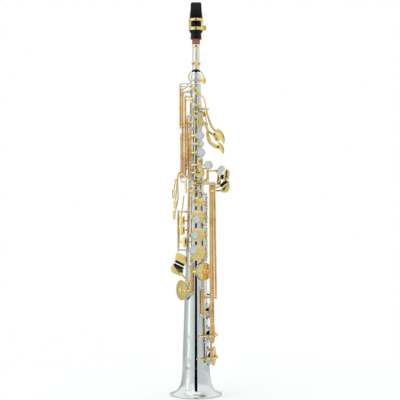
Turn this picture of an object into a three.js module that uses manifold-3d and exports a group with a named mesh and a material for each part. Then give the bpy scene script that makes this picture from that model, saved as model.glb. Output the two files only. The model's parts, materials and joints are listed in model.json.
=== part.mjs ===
// A straight soprano saxophone, standing on its bell.
// Millimetres, +Z up along the tube, keys facing -Y, the player's left hand keys at +X.
// Every moving key hangs in a pivot group whose own Z axis is its hinge line.

import * as THREE from 'three';
import { mergeVertices } from 'three/addons/utils/BufferGeometryUtils.js';
import Module from 'manifold-3d';

const wasm = await Module();
wasm.setup();

// ---------------------------------------------------------------- driving dimensions

const TAPER = 0.0316; // radius gained per millimetre down the tube
const TUBE_TOP_Z = 548;
const TUBE_TOP_RADIUS = 8.43;
const BELL_JOINT_Z = 127;
const WALL = 1.5;
const GAP = 0.3; // clearance between pieces that meet
const SEGMENTS = 24; // facets round the tube

const RIM_RADIUS = 46;
const RIM_HEIGHT = 3.2;

const CHIMNEY_HEIGHT = 3; // tone hole rim above the tube wall
const CHIMNEY_SHARE = 0.86; // chimney radius as a share of its key cup's radius
const CHIMNEY_WALL = 1.2;
const POST_SIDES = 5;
const CUP_HEIGHT = 3.4;
const CUP_EDGE_CLEARANCE = 2.2; // an arm's height above a tone hole's rim beside the cup
const ARM_WIDTH = 3.2;
const ARM_THICKNESS = 2;
const TUBE_RADIUS = 2.2; // hinge tubes of the short keys
const LONG_TUBE_RADIUS = 1.9; // hinge tubes of the long side and low keys
const POST_RADIUS = 1.3;
const POST_BALL = 2.3;
const POST_REACH = POST_BALL + GAP; // from a hinge tube's end to its post's centre
const RIB_THICKNESS = 1.2;
const PLATE = 1.6; // thickness of the finger plates
const PEARL_HEIGHT = 2;

const PAD_LIFT = 2.6; // how far a key cup lifts off its tone hole
const LOW_PAD_LIFT = 3.4; // the same for the big cups at the bottom

const RECEIVER_RADIUS = 9;
const RECEIVER_TOP_Z = 565;
const NECK_TENON_RADIUS = 6.4;
const NECK_TOP_Z = 652;
const CORK_RADIUS = 6.7;
const MOUTHPIECE_Z = 628.4;
const TOP_Z = 695.6;
const LIGATURE_LOW_Z = 644.7;
const LIGATURE_TOP_Z = 666;

const SILVER = { color: 0xd8dcda, roughness: 0.1, metalness: 1 };
const GOLD = { color: 0xd6a94e, roughness: 0.18, metalness: 1 };
const PEARL = { color: 0xe4ebea, roughness: 0.25, metalness: 0 };
const BLACK = { color: 0x0c0c0d, roughness: 0.2, metalness: 0 };
const CORK = { color: 0x8d4b34, roughness: 0.9, metalness: 0 };
const CANE = { color: 0xd9bb7c, roughness: 0.6, metalness: 0 };

// Tone holes: azimuth in degrees from the front towards +X, height, key cup radius.
const HOLES = {
  high_f_sharp: [-18.5, 541, 4.4],
  palm_f: [16, 532, 4.6],
  side_e: [-32, 520, 4.8],
  palm_e_flat: [19.5, 511, 4.9],
  palm_d: [100, 497, 5.4],
  octave: [-5, 481, 3.6],
  b: [24, 457, 7.2],
  bis: [28, 442.6, 5.4],
  a: [26.5, 427, 7.6],
  g: [21.5, 392, 9],
  side_c: [-150, 452, 6.4],
  side_b_flat: [-150, 416, 6.8],
  g_sharp: [3, 374, 6.8],
  f_sharp_trill: [-14, 360, 5.2],
  f_sharp: [9, 341.6, 9.4],
  f: [7, 315, 12.3],
  e: [7.5, 283.6, 12.6],
  d: [6.4, 252, 14.2],
  e_flat: [37, 219, 16],
  low_c: [-67, 185.7, 18],
  low_c_sharp: [90, 148, 15.4],
  low_b: [90, 107, 16.5],
  low_b_flat: [88, 68.5, 17.6],
};
const BELL_HOLES = ['low_b', 'low_b_flat'];

// ---------------------------------------------------------------- geometry helpers

const UP = new THREE.Vector3(0, 0, 1);
const v = (x, y, z) => new THREE.Vector3(x, y, z);
const radians = THREE.MathUtils.degToRad;
const degrees = THREE.MathUtils.radToDeg;

/** Outer radius of the conical tube at a height. */
function tubeRadius(z) {
  return TUBE_TOP_RADIUS + (TUBE_TOP_Z - z) * TAPER;
}

/** Point at an azimuth, a distance from the tube's axis and a height. */
function at(azimuth, distance, z) {
  const angle = radians(azimuth);
  return v(distance * Math.sin(angle), -distance * Math.cos(angle), z);
}

/** Facets round a tone hole whose key cup has some radius. */
function chimneySides(cupRadius) {
  return cupRadius > 8 ? 12 : 8;
}

/** Level unit vector pointing away from the tube's axis. */
function outward(point) {
  return v(point.x, point.y, 0).normalize();
}

/** Azimuth of a point, in degrees. */
function azimuthOf(point) {
  return degrees(Math.atan2(point.x, -point.y));
}

/** Placement whose X runs along a direction and whose Z leans as close to up as it can. */
function placement(origin, along, up) {
  const x = along.clone().normalize();
  const y = new THREE.Vector3().crossVectors(up, x).normalize();
  const z = new THREE.Vector3().crossVectors(x, y);
  return new THREE.Matrix4().makeBasis(x, y, z).setPosition(origin);
}

/** Closed solid from a three.js geometry. */
function solid(geometry, matrix = new THREE.Matrix4()) {
  const shape = geometry.clone();
  shape.deleteAttribute('normal');
  shape.deleteAttribute('uv');
  shape.applyMatrix4(matrix);
  const merged = mergeVertices(shape, 1e-4);
  const vertProperties = new Float32Array(merged.attributes.position.array);
  const triVerts = new Uint32Array(merged.index.array);
  return new wasm.Manifold(new wasm.Mesh({ numProp: 3, vertProperties, triVerts }));
}

/** All the solids joined into one. */
function join(...solids) {
  return solids.flat().reduce((whole, piece) => whole.add(piece));
}

/** Square bar between two points, its thickness facing a direction. */
function bar(from, to, width = ARM_WIDTH, thickness = ARM_THICKNESS, facing = null) {
  const along = to.clone().sub(from);
  const middle = from.clone().add(to).multiplyScalar(0.5);
  const overrun = Math.min(width, thickness) * 0.8;
  const box = new THREE.BoxGeometry(along.length() + overrun, width, thickness);
  return solid(box, placement(middle, along, facing ?? outward(middle)));
}

/** Bars strung through a list of points. */
function arm(points, width = ARM_WIDTH, thickness = ARM_THICKNESS) {
  const bars = [];
  for (let i = 1; i < points.length; i += 1) {
    bars.push(bar(points[i - 1], points[i], width, thickness));
  }
  return join(bars);
}

/** Round rod between two points. */
function rod(from, to, radius, sides = 6) {
  const along = to.clone().sub(from);
  const middle = from.clone().add(to).multiplyScalar(0.5);
  const turn = new THREE.Quaternion().setFromUnitVectors(v(0, 1, 0), along.clone().normalize());
  const cylinder = new THREE.CylinderGeometry(radius, radius, along.length(), sides);
  return solid(cylinder, new THREE.Matrix4().compose(middle, turn, v(1, 1, 1)));
}

/** Flat round plate whose underside is centred on a point. */
function disc(base, normal, radius, height, sides = 12) {
  return rod(base, base.clone().addScaledVector(normal, height), radius, sides);
}

/** Ball, as a small faceted sphere. */
function ball(centre, radius) {
  const sphere = new THREE.SphereGeometry(radius, 6, 4);
  return solid(sphere, new THREE.Matrix4().makeTranslation(centre.x, centre.y, centre.z));
}

/** Solid of revolution about the tube's axis from [radius, height] points. */
function turned(profile, segments = SEGMENTS) {
  const points = profile.map(([radius, z]) => new THREE.Vector2(radius, z));
  const lathe = new THREE.LatheGeometry(points, segments);
  return solid(lathe, new THREE.Matrix4().makeRotationX(Math.PI / 2));
}

/** Flat plate of a 2-D outline, its X along a direction and its face along a normal. */
function plate(outline, centre, along, normal, thickness = PLATE) {
  const options = { depth: thickness, bevelEnabled: false, curveSegments: 3 };
  const face = new THREE.ExtrudeGeometry(outline, options);
  return solid(face, placement(centre, along, normal));
}

/** Ellipse outline. */
function oval(halfLength, halfWidth) {
  const outline = new THREE.Shape();
  outline.absellipse(0, 0, halfLength, halfWidth, 0, Math.PI * 2);
  return outline;
}

/** Polygon outline with its corners cut round. */
function rounded(corners, radius) {
  const outline = new THREE.Shape();
  corners.forEach((corner, i) => {
    const before = corners[(i + corners.length - 1) % corners.length];
    const after = corners[(i + 1) % corners.length];
    const here = new THREE.Vector2(...corner);
    const toward = new THREE.Vector2(...before).sub(here);
    const onward = new THREE.Vector2(...after).sub(here);
    const reach = Math.min(radius, toward.length() * 0.4, onward.length() * 0.4);
    toward.setLength(reach).add(here);
    onward.setLength(reach).add(here);
    if (i === 0) {
      outline.moveTo(toward.x, toward.y);
    } else {
      outline.lineTo(toward.x, toward.y);
    }
    outline.quadraticCurveTo(here.x, here.y, onward.x, onward.y);
  });
  outline.closePath();
  return outline;
}

// ---------------------------------------------------------------- scene graph helpers

const saxophone = new THREE.Group();

/** Named mesh of a solid, added to its parent. */
function addMesh(parent, name, shape, finish, toLocal = new THREE.Matrix4()) {
  const { vertProperties, triVerts } = shape.getMesh();
  const geometry = new THREE.BufferGeometry();
  geometry.setAttribute('position', new THREE.BufferAttribute(vertProperties, 3));
  geometry.setIndex(new THREE.BufferAttribute(triVerts, 1));
  geometry.applyMatrix4(toLocal);
  const mesh = new THREE.Mesh(geometry, new THREE.MeshStandardMaterial(finish));
  mesh.name = name;
  parent.add(mesh);
  return mesh;
}

/** Frame at a hinge: origin at its first end, Z towards its second. */
function hingeFrame(hinge) {
  const turn = new THREE.Quaternion();
  turn.setFromUnitVectors(UP, hinge[1].clone().sub(hinge[0]).normalize());
  return new THREE.Matrix4().compose(hinge[0], turn, v(1, 1, 1));
}

/** Turn about a hinge that lifts a pad's centre by a distance, in degrees. */
function liftAngle(hinge, pad, lift) {
  const axis = hinge[1].clone().sub(hinge[0]).normalize();
  const speed = axis.cross(pad.clone().sub(hinge[0])).dot(outward(pad));
  return degrees(lift / speed);
}

/**
 * A key, modelled with its pad down. At rest it is turned by restAngle about its hinge, and
 * userData.travel is how much further it turns, in degrees.
 */
function addKey(name, hinge, shape, { restAngle = 0, pressed, carried = [], finish = GOLD }) {
  const frame = hingeFrame(hinge);
  const pivot = new THREE.Group();
  frame.decompose(pivot.position, pivot.quaternion, pivot.scale);
  pivot.rotateZ(radians(restAngle));
  const toLocal = frame.clone().invert();
  const key = addMesh(pivot, name, shape, finish, toLocal);
  key.userData.travel = [Math.min(0, pressed), Math.max(0, pressed)];
  for (const [pieceName, piece, pieceFinish] of carried) {
    addMesh(pivot, pieceName, piece, pieceFinish, toLocal);
  }
  saxophone.add(pivot);
  return pivot;
}

/** Key that rests with its pad down, and lifts it when pressed. */
function addClosedKey(name, hinge, hole, shape, options = {}) {
  const angle = liftAngle(hinge, holeTop(hole), options.lift ?? PAD_LIFT);
  return addKey(name, hinge, shape, { pressed: angle, ...options });
}

/** Key that rests with its pad up, and closes it when pressed. */
function addOpenKey(name, hinge, hole, shape, options = {}) {
  const angle = liftAngle(hinge, holeTop(hole), options.lift ?? PAD_LIFT);
  return addKey(name, hinge, shape, { restAngle: angle, pressed: -angle, ...options });
}

// ---------------------------------------------------------------- shared sax pieces

/** Centre of a tone hole's rim. */
function holeTop(hole) {
  const [azimuth, z] = HOLES[hole];
  return at(azimuth, tubeRadius(z) + CHIMNEY_HEIGHT, z);
}

/** Key cup over a tone hole. */
function cup(hole) {
  const top = holeTop(hole);
  const normal = outward(top);
  const base = top.clone().addScaledVector(normal, GAP);
  return disc(base, normal, HOLES[hole][2], CUP_HEIGHT, HOLES[hole][2] > 8 ? 16 : 10);
}

/** Point on an arm's centre line above the middle of a key cup. */
function overCup(hole, extra = 0) {
  const top = holeTop(hole);
  const height = GAP + CUP_HEIGHT + ARM_THICKNESS / 2 - 0.3 + extra;
  return top.addScaledVector(outward(top), height);
}

/** Finger pearl and the rim that holds it, on a point facing a direction. */
function pearlSeat(base, normal, radius) {
  const seat = disc(base, normal, radius + 0.9, 1.6);
  const pearlBase = base.clone().addScaledVector(normal, 1.6 + GAP);
  const pearl = disc(pearlBase, normal, radius, PEARL_HEIGHT);
  return { seat, pearl };
}

/** Hinge line between two points, cut to the tube between two heights. */
function hingeBetween(low, high, fromZ, toZ) {
  const pointAt = (z) => low.clone().lerp(high, (z - low.z) / (high.z - low.z));
  return [pointAt(fromZ), pointAt(toZ)];
}

/** The two posts just past the ends of a hinge. */
function postsOf(hinge) {
  const along = hinge[1].clone().sub(hinge[0]).normalize();
  const low = hinge[0].clone().addScaledVector(along, -POST_REACH);
  const high = hinge[1].clone().addScaledVector(along, POST_REACH);
  return [low, high];
}

/** Hinge tube of a key. */
function hingeTube(hinge, radius = TUBE_RADIUS) {
  return rod(hinge[0], hinge[1], radius);
}

/** Thin shell lying on the tube, from which the ribs are cut. */
function ribShell(zLow, zHigh) {
  const inner = (z) => tubeRadius(z) + GAP;
  return turned([
    [inner(zLow), zLow],
    [inner(zLow) + RIB_THICKNESS, zLow],
    [inner(zHigh) + RIB_THICKNESS, zHigh],
    [inner(zHigh), zHigh],
    [inner(zLow), zLow],
  ]);
}

/** Wedge of space between two azimuths and two heights. */
function wedge(azimuthLow, azimuthHigh, zLow, zHigh) {
  const reach = RIM_RADIUS * 2;
  const middle = (azimuthLow + azimuthHigh) / 2;
  const corners = [v(0, 0, 0), at(azimuthLow, reach, 0), at(middle, reach, 0)];
  corners.push(at(azimuthHigh, reach, 0));
  const outline = new THREE.Shape(corners.map(({ x, y }) => new THREE.Vector2(x, y)));
  const geometry = new THREE.ExtrudeGeometry(outline, { depth: zHigh - zLow, bevelEnabled: false });
  return solid(geometry, new THREE.Matrix4().makeTranslation(0, 0, zLow));
}

const holeClearance = join(
  Object.entries(HOLES).map(([, [azimuth, z, radius]]) => {
    const reach = tubeRadius(z) + 12;
    const sides = chimneySides(radius);
    return rod(at(azimuth, 0, z), at(azimuth, reach, z), radius * CHIMNEY_SHARE + 0.5, sides);
  }),
);

/**
 * A rib soldered on the tube with posts standing on it. The spine runs the rib's whole length
 * at one azimuth, and each post has a foot that reaches the spine.
 */
function addRib(name, spineAzimuth, posts) {
  const footHalfHeight = 4;
  const heights = posts.map((post) => post.z);
  const low = Math.min(...heights) - footHalfHeight;
  const high = Math.max(...heights) + footHalfHeight;
  const shell = ribShell(low, Math.min(high, TUBE_TOP_Z - 0.5));
  const sectors = [wedge(spineAzimuth - 7, spineAzimuth + 7, low, high)];
  for (const post of posts) {
    const azimuth = azimuthOf(post);
    const first = Math.min(azimuth, spineAzimuth) - 7;
    const last = Math.max(azimuth, spineAzimuth) + 7;
    sectors.push(wedge(first, last, post.z - footHalfHeight, post.z + footHalfHeight));
  }
  const seat = shell.intersect(join(sectors)).subtract(holeClearance);
  const stems = posts.map((post) => {
    const foot = at(azimuthOf(post), tubeRadius(post.z) + GAP + RIB_THICKNESS / 2, post.z);
    return join(rod(foot, post, POST_RADIUS, POST_SIDES), ball(post, POST_BALL));
  });
  addMesh(saxophone, name, join(seat, stems), SILVER);
}

// ---------------------------------------------------------------- tube, bell and neck

/** Chimneys and bores of some of the tone holes. */
function holeSolids(names) {
  const chimneys = [];
  const bores = [];
  for (const name of names) {
    const [azimuth, z, cupRadius] = HOLES[name];
    const top = tubeRadius(z) + CHIMNEY_HEIGHT;
    const radius = cupRadius * CHIMNEY_SHARE;
    const sides = chimneySides(cupRadius);
    const bore = radius - CHIMNEY_WALL;
    chimneys.push(rod(at(azimuth, top / 2, z), at(azimuth, top, z), radius, sides));
    bores.push(rod(at(azimuth, 1, z), at(azimuth, top + 1, z), bore, sides));
  }
  return { chimneys, bores };
}

function addBodyTube() {
  const low = BELL_JOINT_Z + GAP;
  const cone = (inset, zLow, zHigh) => turned([
    [0, zLow],
    [tubeRadius(zLow) - inset, zLow],
    [tubeRadius(zHigh) - inset, zHigh],
    [0, zHigh],
  ]);
  const names = Object.keys(HOLES).filter((name) => !BELL_HOLES.includes(name));
  const { chimneys, bores } = holeSolids(names);
  const hollow = cone(WALL, low - 1, TUBE_TOP_Z + 1);
  const tube = join(cone(0, low, TUBE_TOP_Z), chimneys).subtract(join(hollow, bores));
  addMesh(saxophone, 'body_tube', tube, SILVER);
}

/** Outer line of the bell, from its mouth up, as [radius, height]. */
function bellOutline() {
  const flare = [[42.2, 2.6], [38.6, 4.2], [35, 6.8], [31.6, 10.8], [28.4, 17], [26.2, 26]];
  return [...flare, [tubeRadius(40), 40], [tubeRadius(BELL_JOINT_Z), BELL_JOINT_Z]];
}

function addBell() {
  const outer = bellOutline();
  const top = outer[outer.length - 1];
  const filled = turned([[0, outer[0][1]], ...outer, [0, BELL_JOINT_Z]]);
  const inner = outer.map(([radius, z]) => [radius - WALL, z]);
  const hollow = turned([
    [0, -1],
    [outer[0][0] - WALL, -1],
    ...inner,
    [top[0] - WALL, BELL_JOINT_Z + 1],
    [0, BELL_JOINT_Z + 1],
  ]);
  const { chimneys, bores } = holeSolids(BELL_HOLES);
  const bell = join(filled, chimneys).subtract(join(hollow, bores));
  addMesh(saxophone, 'bell', bell, SILVER);
  const inside = outer[0][0] + GAP;
  const rim = turned([
    [inside, 0],
    [RIM_RADIUS - 0.6, 0],
    [RIM_RADIUS, 0.7],
    [RIM_RADIUS, 2.2],
    [RIM_RADIUS - 0.8, RIM_HEIGHT],
    [inside, RIM_HEIGHT],
    [inside, 0],
  ]);
  addMesh(saxophone, 'bell_rim', rim, SILVER);
}

function addReceiver() {
  const low = TUBE_TOP_Z + GAP;
  const inside = NECK_TENON_RADIUS + GAP;
  const collar = turned([
    [inside, low],
    [RECEIVER_RADIUS, low],
    [RECEIVER_RADIUS, RECEIVER_TOP_Z],
    [inside, RECEIVER_TOP_Z],
    [inside, low],
  ]);
  const lugs = [-3.4, 3.4].map((x) => (
    bar(v(x, -RECEIVER_RADIUS + 1.2, 555), v(x, -13.4, 555), 2.6, 8, UP)
  ));
  const slit = bar(v(0, -4, 556.6), v(0, -16, 556.6), 1.4, 18.4, UP);
  const screwHole = rod(v(-8, -11.4, 555), v(8, -11.4, 555), 1.6, 10);
  const receiver = join(collar, lugs).subtract(join(slit, screwHole));
  addMesh(saxophone, 'neck_receiver', receiver, SILVER);
  const axis = [v(-4, -11.4, 555), v(18, -11.4, 555)];
  const head = plate(oval(6.4, 3.6), v(13.6, -10.2, 555), UP, v(0, -1, 0), 2.4);
  const shank = rod(v(-6, -11.4, 555), v(12, -11.4, 555), 1.3);
  addKey('neck_screw', axis, join(shank, head, rod(v(5.2, -11.4, 555), v(8, -11.4, 555), 2.6)), {
    pressed: 360,
  });
}

const neck = new THREE.Group();
saxophone.add(neck);

function addNeck() {
  const tenonLow = TUBE_TOP_Z + 1.5;
  const shoulder = RECEIVER_TOP_Z + GAP;
  const tube = turned([
    [4.6, tenonLow],
    [NECK_TENON_RADIUS, tenonLow],
    [NECK_TENON_RADIUS, shoulder],
    [7.6, shoulder],
    [7.6, shoulder + 2.4],
    [6.9, shoulder + 3],
    [6, 619],
    [5.6, NECK_TOP_Z],
    [4, NECK_TOP_Z],
    [4.6, tenonLow],
  ], 16);
  const saddle = bar(v(-7.2, -6.6, 585), v(7.2, -6.6, 585), 6, 2, v(0, -1, 0));
  const ears = [-6.9, 6.9].map((x) => bar(v(x, -6.4, 585), v(x, -11.6, 585), 2, 5, UP));
  addMesh(neck, 'neck_tube', join(tube, saddle, ears), SILVER);
  const corkInside = 6 + GAP;
  const cork = turned([
    [corkInside, 619.4],
    [CORK_RADIUS + 0.2, 619.4],
    [CORK_RADIUS, NECK_TOP_Z - 2],
    [corkInside - 0.2, NECK_TOP_Z - 2],
    [corkInside, 619.4],
  ], 16);
  addMesh(neck, 'neck_cork', cork, CORK);
}

function addNeckOctaveKey() {
  const hinge = [v(-5.4, -10.6, 585), v(5.4, -10.6, 585)];
  const boss = disc(v(0, -9.4, 585), v(0, -1, 0), 5.2, 3, 14);
  const pad = disc(v(0, -7.6, 613.8), v(0, -1, 0), 3.9, 3, 12);
  const front = arm([v(0, -11, 590), v(0, -12, 600), v(0, -10.4, 613)], 3, 1.6);
  const stem = arm([v(0, -11, 582), v(0, -13, 573.5)], 3.4, 1.6);
  const tilt = new THREE.Matrix4().makeRotationX(radians(-38));
  const squash = new THREE.Matrix4().makeScale(1, 1.27, 1);
  const ring = solid(
    new THREE.TorusGeometry(13, 1.3, 5, 20),
    new THREE.Matrix4().makeTranslation(0, 0, 562).multiply(tilt).multiply(squash),
  );
  const key = join(boss, pad, front, stem, ring, rod(hinge[0], hinge[1], 1.5));
  addKey('neck_octave_key', hinge, key, { pressed: 6 });
}

function addMouthpiece() {
  const z = MOUTHPIECE_Z;
  const outside = turned([
    [0, z],
    [9.5, z],
    [9.5, 640],
    [11.7, 641],
    [11.7, LIGATURE_TOP_Z],
    [11.2, 672],
    [9.8, 681],
    [9.6, 690],
    [9.4, 693.4],
    [8, TOP_Z],
    [0, TOP_Z],
  ], 20);
  const boreTop = NECK_TOP_Z + 1.6;
  const bore = turned([
    [0, z - 1],
    [CORK_RADIUS + 0.5, z - 1],
    [CORK_RADIUS + 0.5, boreTop],
    [5, boreTop],
    [4.2, 680],
    [0, 680],
  ], 16);
  const table = bar(v(-20, 16.2, 669), v(20, 16.2, 669), 60, 16, v(0, 1, 0));
  const slope = v(0, -0.915, 0.404);
  const beakCut = bar(v(-20, -10.06, 678.5), v(20, -10.06, 678.5), 60, 16, slope);
  const window = bar(v(-3.6, 6, 676), v(3.6, 6, 676), 24, 10, v(0, 1, 0));
  const body = outside.subtract(join(bore, table, beakCut, window));
  addMesh(neck, 'mouthpiece', body, BLACK);
  const reedOutline = rounded([[-27, -5.4], [27, -5.4], [27, 5.4], [-27, 5.4]], 2);
  const reed = plate(reedOutline, v(0, 8.5, 667), UP, v(0, 1, 0), 2);
  addMesh(neck, 'reed', reed, CANE);
  const low = LIGATURE_LOW_Z;
  const band = turned([[12, low], [13, low], [13, LIGATURE_TOP_Z], [12, LIGATURE_TOP_Z], [12, low]], 20);
  const opening = bar(v(-8.1, -12, 656.2), v(8.1, -12, 656.2), 13, 6, v(0, -1, 0));
  const lugs = [-4, 4].map((x) => bar(v(x, 12.4, 651), v(x, 17.2, 651), 2.6, 8, UP));
  const screwHole = rod(v(-8, 15, 651), v(8, 15, 651), 1.7, 10);
  addMesh(neck, 'ligature', join(band, lugs).subtract(join(opening, screwHole)), GOLD);
  const shank = rod(v(-6, 15, 651), v(13, 15, 651), 1.4);
  const head = rod(v(12, 15, 651), v(18, 15, 651), 4.5, 12);
  addKey('ligature_screw', [v(-4, 15, 651), v(18, 15, 651)], join(shank, head), { pressed: 360 });
}

// ---------------------------------------------------------------- fittings at the back

function addBackFittings() {
  const back = (r, z) => at(180, r, z);
  const hookZ = 296;
  const hookBase = tubeRadius(hookZ) + GAP * 2;
  const hook = arm([
    back(hookBase + 1.4, hookZ - 16),
    back(hookBase + 1.4, hookZ + 10),
  ], 12, 2.4);
  const lip = arm([
    back(hookBase + 1.4, hookZ + 9),
    back(hookBase + 15, hookZ + 6),
    back(hookBase + 21, hookZ - 4),
  ], 14, 2.4);
  addMesh(saxophone, 'thumb_hook', join(hook, lip), GOLD);
  const restZ = 466;
  const rest = disc(back(tubeRadius(restZ) + GAP, restZ), v(0, 1, 0), 7, 3.6);
  addMesh(saxophone, 'thumb_rest', rest, GOLD);
  const ringZ = 345;
  const ringBase = tubeRadius(ringZ) + GAP * 2;
  const ring = solid(
    new THREE.TorusGeometry(6, 1.4, 5, 12),
    new THREE.Matrix4()
      .makeTranslation(0, ringBase + 8.2, ringZ)
      .multiply(new THREE.Matrix4().makeRotationY(Math.PI / 2)),
  );
  const base = arm([back(ringBase + 0.8, ringZ - 10), back(ringBase + 0.8, ringZ + 10)], 8, 1.6);
  addMesh(saxophone, 'strap_ring', join(ring, base), SILVER);
}

// ---------------------------------------------------------------- left hand keys

const leftStackLow = v(-9.5, -17.5, 380);
const leftStackHigh = v(-9.5, -15, 470);

/** Arm from a stack's hinge line, up over the edge of a key cup, to the cup's middle. */
function stackArm(hinge, hole) {
  const over = overCup(hole);
  const share = (over.z - hinge[0].z) / (hinge[1].z - hinge[0].z);
  const root = hinge[0].clone().lerp(hinge[1], share);
  const across = new THREE.Vector3().crossVectors(UP, outward(over));
  const side = across.dot(root);
  const reach = Math.min(HOLES[hole][2] + 0.5, Math.abs(side) - 1.5);
  const brink = holeTop(hole)
    .addScaledVector(outward(over), CUP_EDGE_CLEARANCE)
    .addScaledVector(across, Math.sign(side) * reach);
  return arm([root, brink, over]);
}

function addLeftStack() {
  const stack = (from, to) => hingeBetween(leftStackLow, leftStackHigh, from, to);
  const hinges = {
    b: stack(447.4, 467),
    bis: stack(437.4, 446.8),
    a: stack(413, 436.8),
    g: stack(383, 407.6),
  };
  for (const hole of ['b', 'a']) {
    const over = overCup(hole, 0.6);
    const { seat, pearl } = pearlSeat(over, outward(over), HOLES[hole][2] - 1);
    const shape = join(hingeTube(hinges[hole]), stackArm(hinges[hole], hole), cup(hole), seat);
    addOpenKey(`${hole}_key`, hinges[hole], hole, shape, {
      carried: [[`pearl_${hole}`, pearl, PEARL]],
    });
  }
  const bisTop = overCup('bis', 0.6);
  const bisSeat = disc(bisTop, outward(bisTop), 4.6, 3.4, 12);
  const bis = join(hingeTube(hinges.bis), stackArm(hinges.bis, 'bis'), cup('bis'), bisSeat);
  addOpenKey('bis_key', hinges.bis, 'bis', bis);
  const touch = v(23.3, -20.5, 405);
  const { seat, pearl } = pearlSeat(touch, v(0, -1, 0), 6.6);
  const touchArm = arm([hinges.g[0].clone().lerp(hinges.g[1], 0.92), v(8, -19.6, 405.6), touch]);
  const block = bar(v(8, -19.8, 406), v(8, -19.4, 415), 9, 2.4);
  const g = join(hingeTube(hinges.g), stackArm(hinges.g, 'g'), cup('g'), touchArm, seat, block);
  addOpenKey('g_key', hinges.g, 'g', g, { carried: [['pearl_g', pearl, PEARL]] });
  return [postsOf(hinges.b)[1], stack(410.3, 410.4)[0], postsOf(hinges.g)[0]];
}

function addFrontF() {
  const hinge = [v(-5.5, -18.8, 491), v(-5.5, -18.8, 504)];
  const leaf = new THREE.Shape();
  leaf.moveTo(0, -10);
  leaf.quadraticCurveTo(10.5, -1, 0, 10);
  leaf.quadraticCurveTo(-10.5, -1, 0, -10);
  const touch = plate(leaf, v(7.7, -23.4, 480), v(1, 0.05, 0), v(0, -1, 0));
  const link = arm([v(-5.5, -18.8, 500), v(4, -20.6, 499), v(13, -20.8, 498)], 2.6);
  const touchArm = arm([v(-5.5, -18.8, 492.6), v(2, -22, 490.6), v(7.7, -23.2, 485)], 2.6);
  addKey('front_f_key', hinge, join(hingeTube(hinge, 1.8), touch, link, touchArm), { pressed: 6 });
  return hinge;
}

/** Palm key: a lever across a short hinge, with a cup above and a touch below. */
function addPalmKey(name, hinge, hole, upper, lower, touch) {
  const middle = hinge[0].clone().lerp(hinge[1], 0.5);
  const up = arm([middle, ...upper, overCup(hole)], 2.8);
  const down = arm([middle, ...lower], 3.4);
  const shape = join(hingeTube(hinge, 1.9), up, down, touch, cup(hole));
  addClosedKey(name, hinge, hole, shape, { lift: 2 });
}

/** Short level hinge across a key lever, at an azimuth. */
function crossHinge(azimuth, distance, z, halfLength) {
  const centre = at(azimuth, distance, z);
  const along = v(-centre.y, centre.x, 0).setLength(halfLength);
  return [centre.clone().sub(along), centre.clone().add(along)];
}

/** Crescent touch that a palm rests on. */
function crescent(length, depth) {
  const outline = new THREE.Shape();
  outline.moveTo(-length / 2, 0);
  outline.quadraticCurveTo(0, depth * 1.6, length / 2, 0);
  outline.quadraticCurveTo(0, -depth * 0.5, -length / 2, 0);
  return outline;
}

function addPalmKeys() {
  const fHinge = crossHinge(62, 20, 505, 4.4);
  addPalmKey('palm_f_key', fHinge, 'palm_f', [v(14, -13.6, 523)], [
    v(21.5, -8.5, 490),
    v(27.6, -7, 474),
    v(33.5, -6, 467),
    v(41, -5, 464),
  ], plate(crescent(28, 8), v(43.5, -6, 457), v(0.42, 0, -0.9), v(-0.3, -0.94, -0.1), 2));
  const eFlatHinge = crossHinge(45, 19.4, 480, 3.6);
  addPalmKey('palm_e_flat_key', eFlatHinge, 'palm_e_flat', [v(8.4, -14.6, 499)], [
    v(18.9, -11, 470),
    v(20.6, -10, 459),
    v(25, -8, 446),
    v(36, -6, 438.5),
    v(42, -6, 438),
  ], plate(crescent(22, 7), v(43.6, -7, 436), v(0.42, 0, -0.9), v(-0.3, -0.94, -0.1), 2));
  const dHinge = crossHinge(100, 18.4, 478, 4.4);
  addPalmKey('palm_d_key', dHinge, 'palm_d', [v(17.6, 3.2, 490)], [
    v(22.5, 4, 466),
    v(32, 3, 459),
  ], plate(oval(9, 5), v(36, 2, 456), v(0.5, 0, -0.87), v(0.2, -0.97, 0), 2));
  addRib('rib_palm', 66, [...postsOf(fHinge), ...postsOf(eFlatHinge), ...postsOf(dHinge)]);
}

function addOctaveWork() {
  const rodLow = v(-27.9, 6, 476);
  const rodHigh = v(-27.9, 6, 543);
  const lever = join(
    rod(rodLow, rodHigh, LONG_TUBE_RADIUS),
    arm([v(-27.9, 6, 480), v(-22, 16, 480), v(-10, 20.5, 481)]),
    plate(oval(9, 5.4), v(-3, 19, 481), v(1, 0.1, 0), v(0, 1, 0)),
    arm([v(-27.9, 6, 540), v(-19, 9.5, 543), v(-15, 9.6, 552)], 2.8),
  );
  addKey('octave_lever', [rodLow, rodHigh], lever, { pressed: -5 });
  const ventHinge = [v(-15, -9, 475), v(-15, -9, 489)];
  const vent = join(
    hingeTube(ventHinge, 1.8),
    arm([v(-15, -9, 481), v(-8.6, -15.6, 481), overCup('octave')], 2.6),
    cup('octave'),
  );
  addClosedKey('octave_vent_key', ventHinge, 'octave', vent, { lift: 1.6 });
  return { lever: [rodLow, rodHigh], vent: ventHinge };
}

// ---------------------------------------------------------------- side keys, player's right hand

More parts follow.
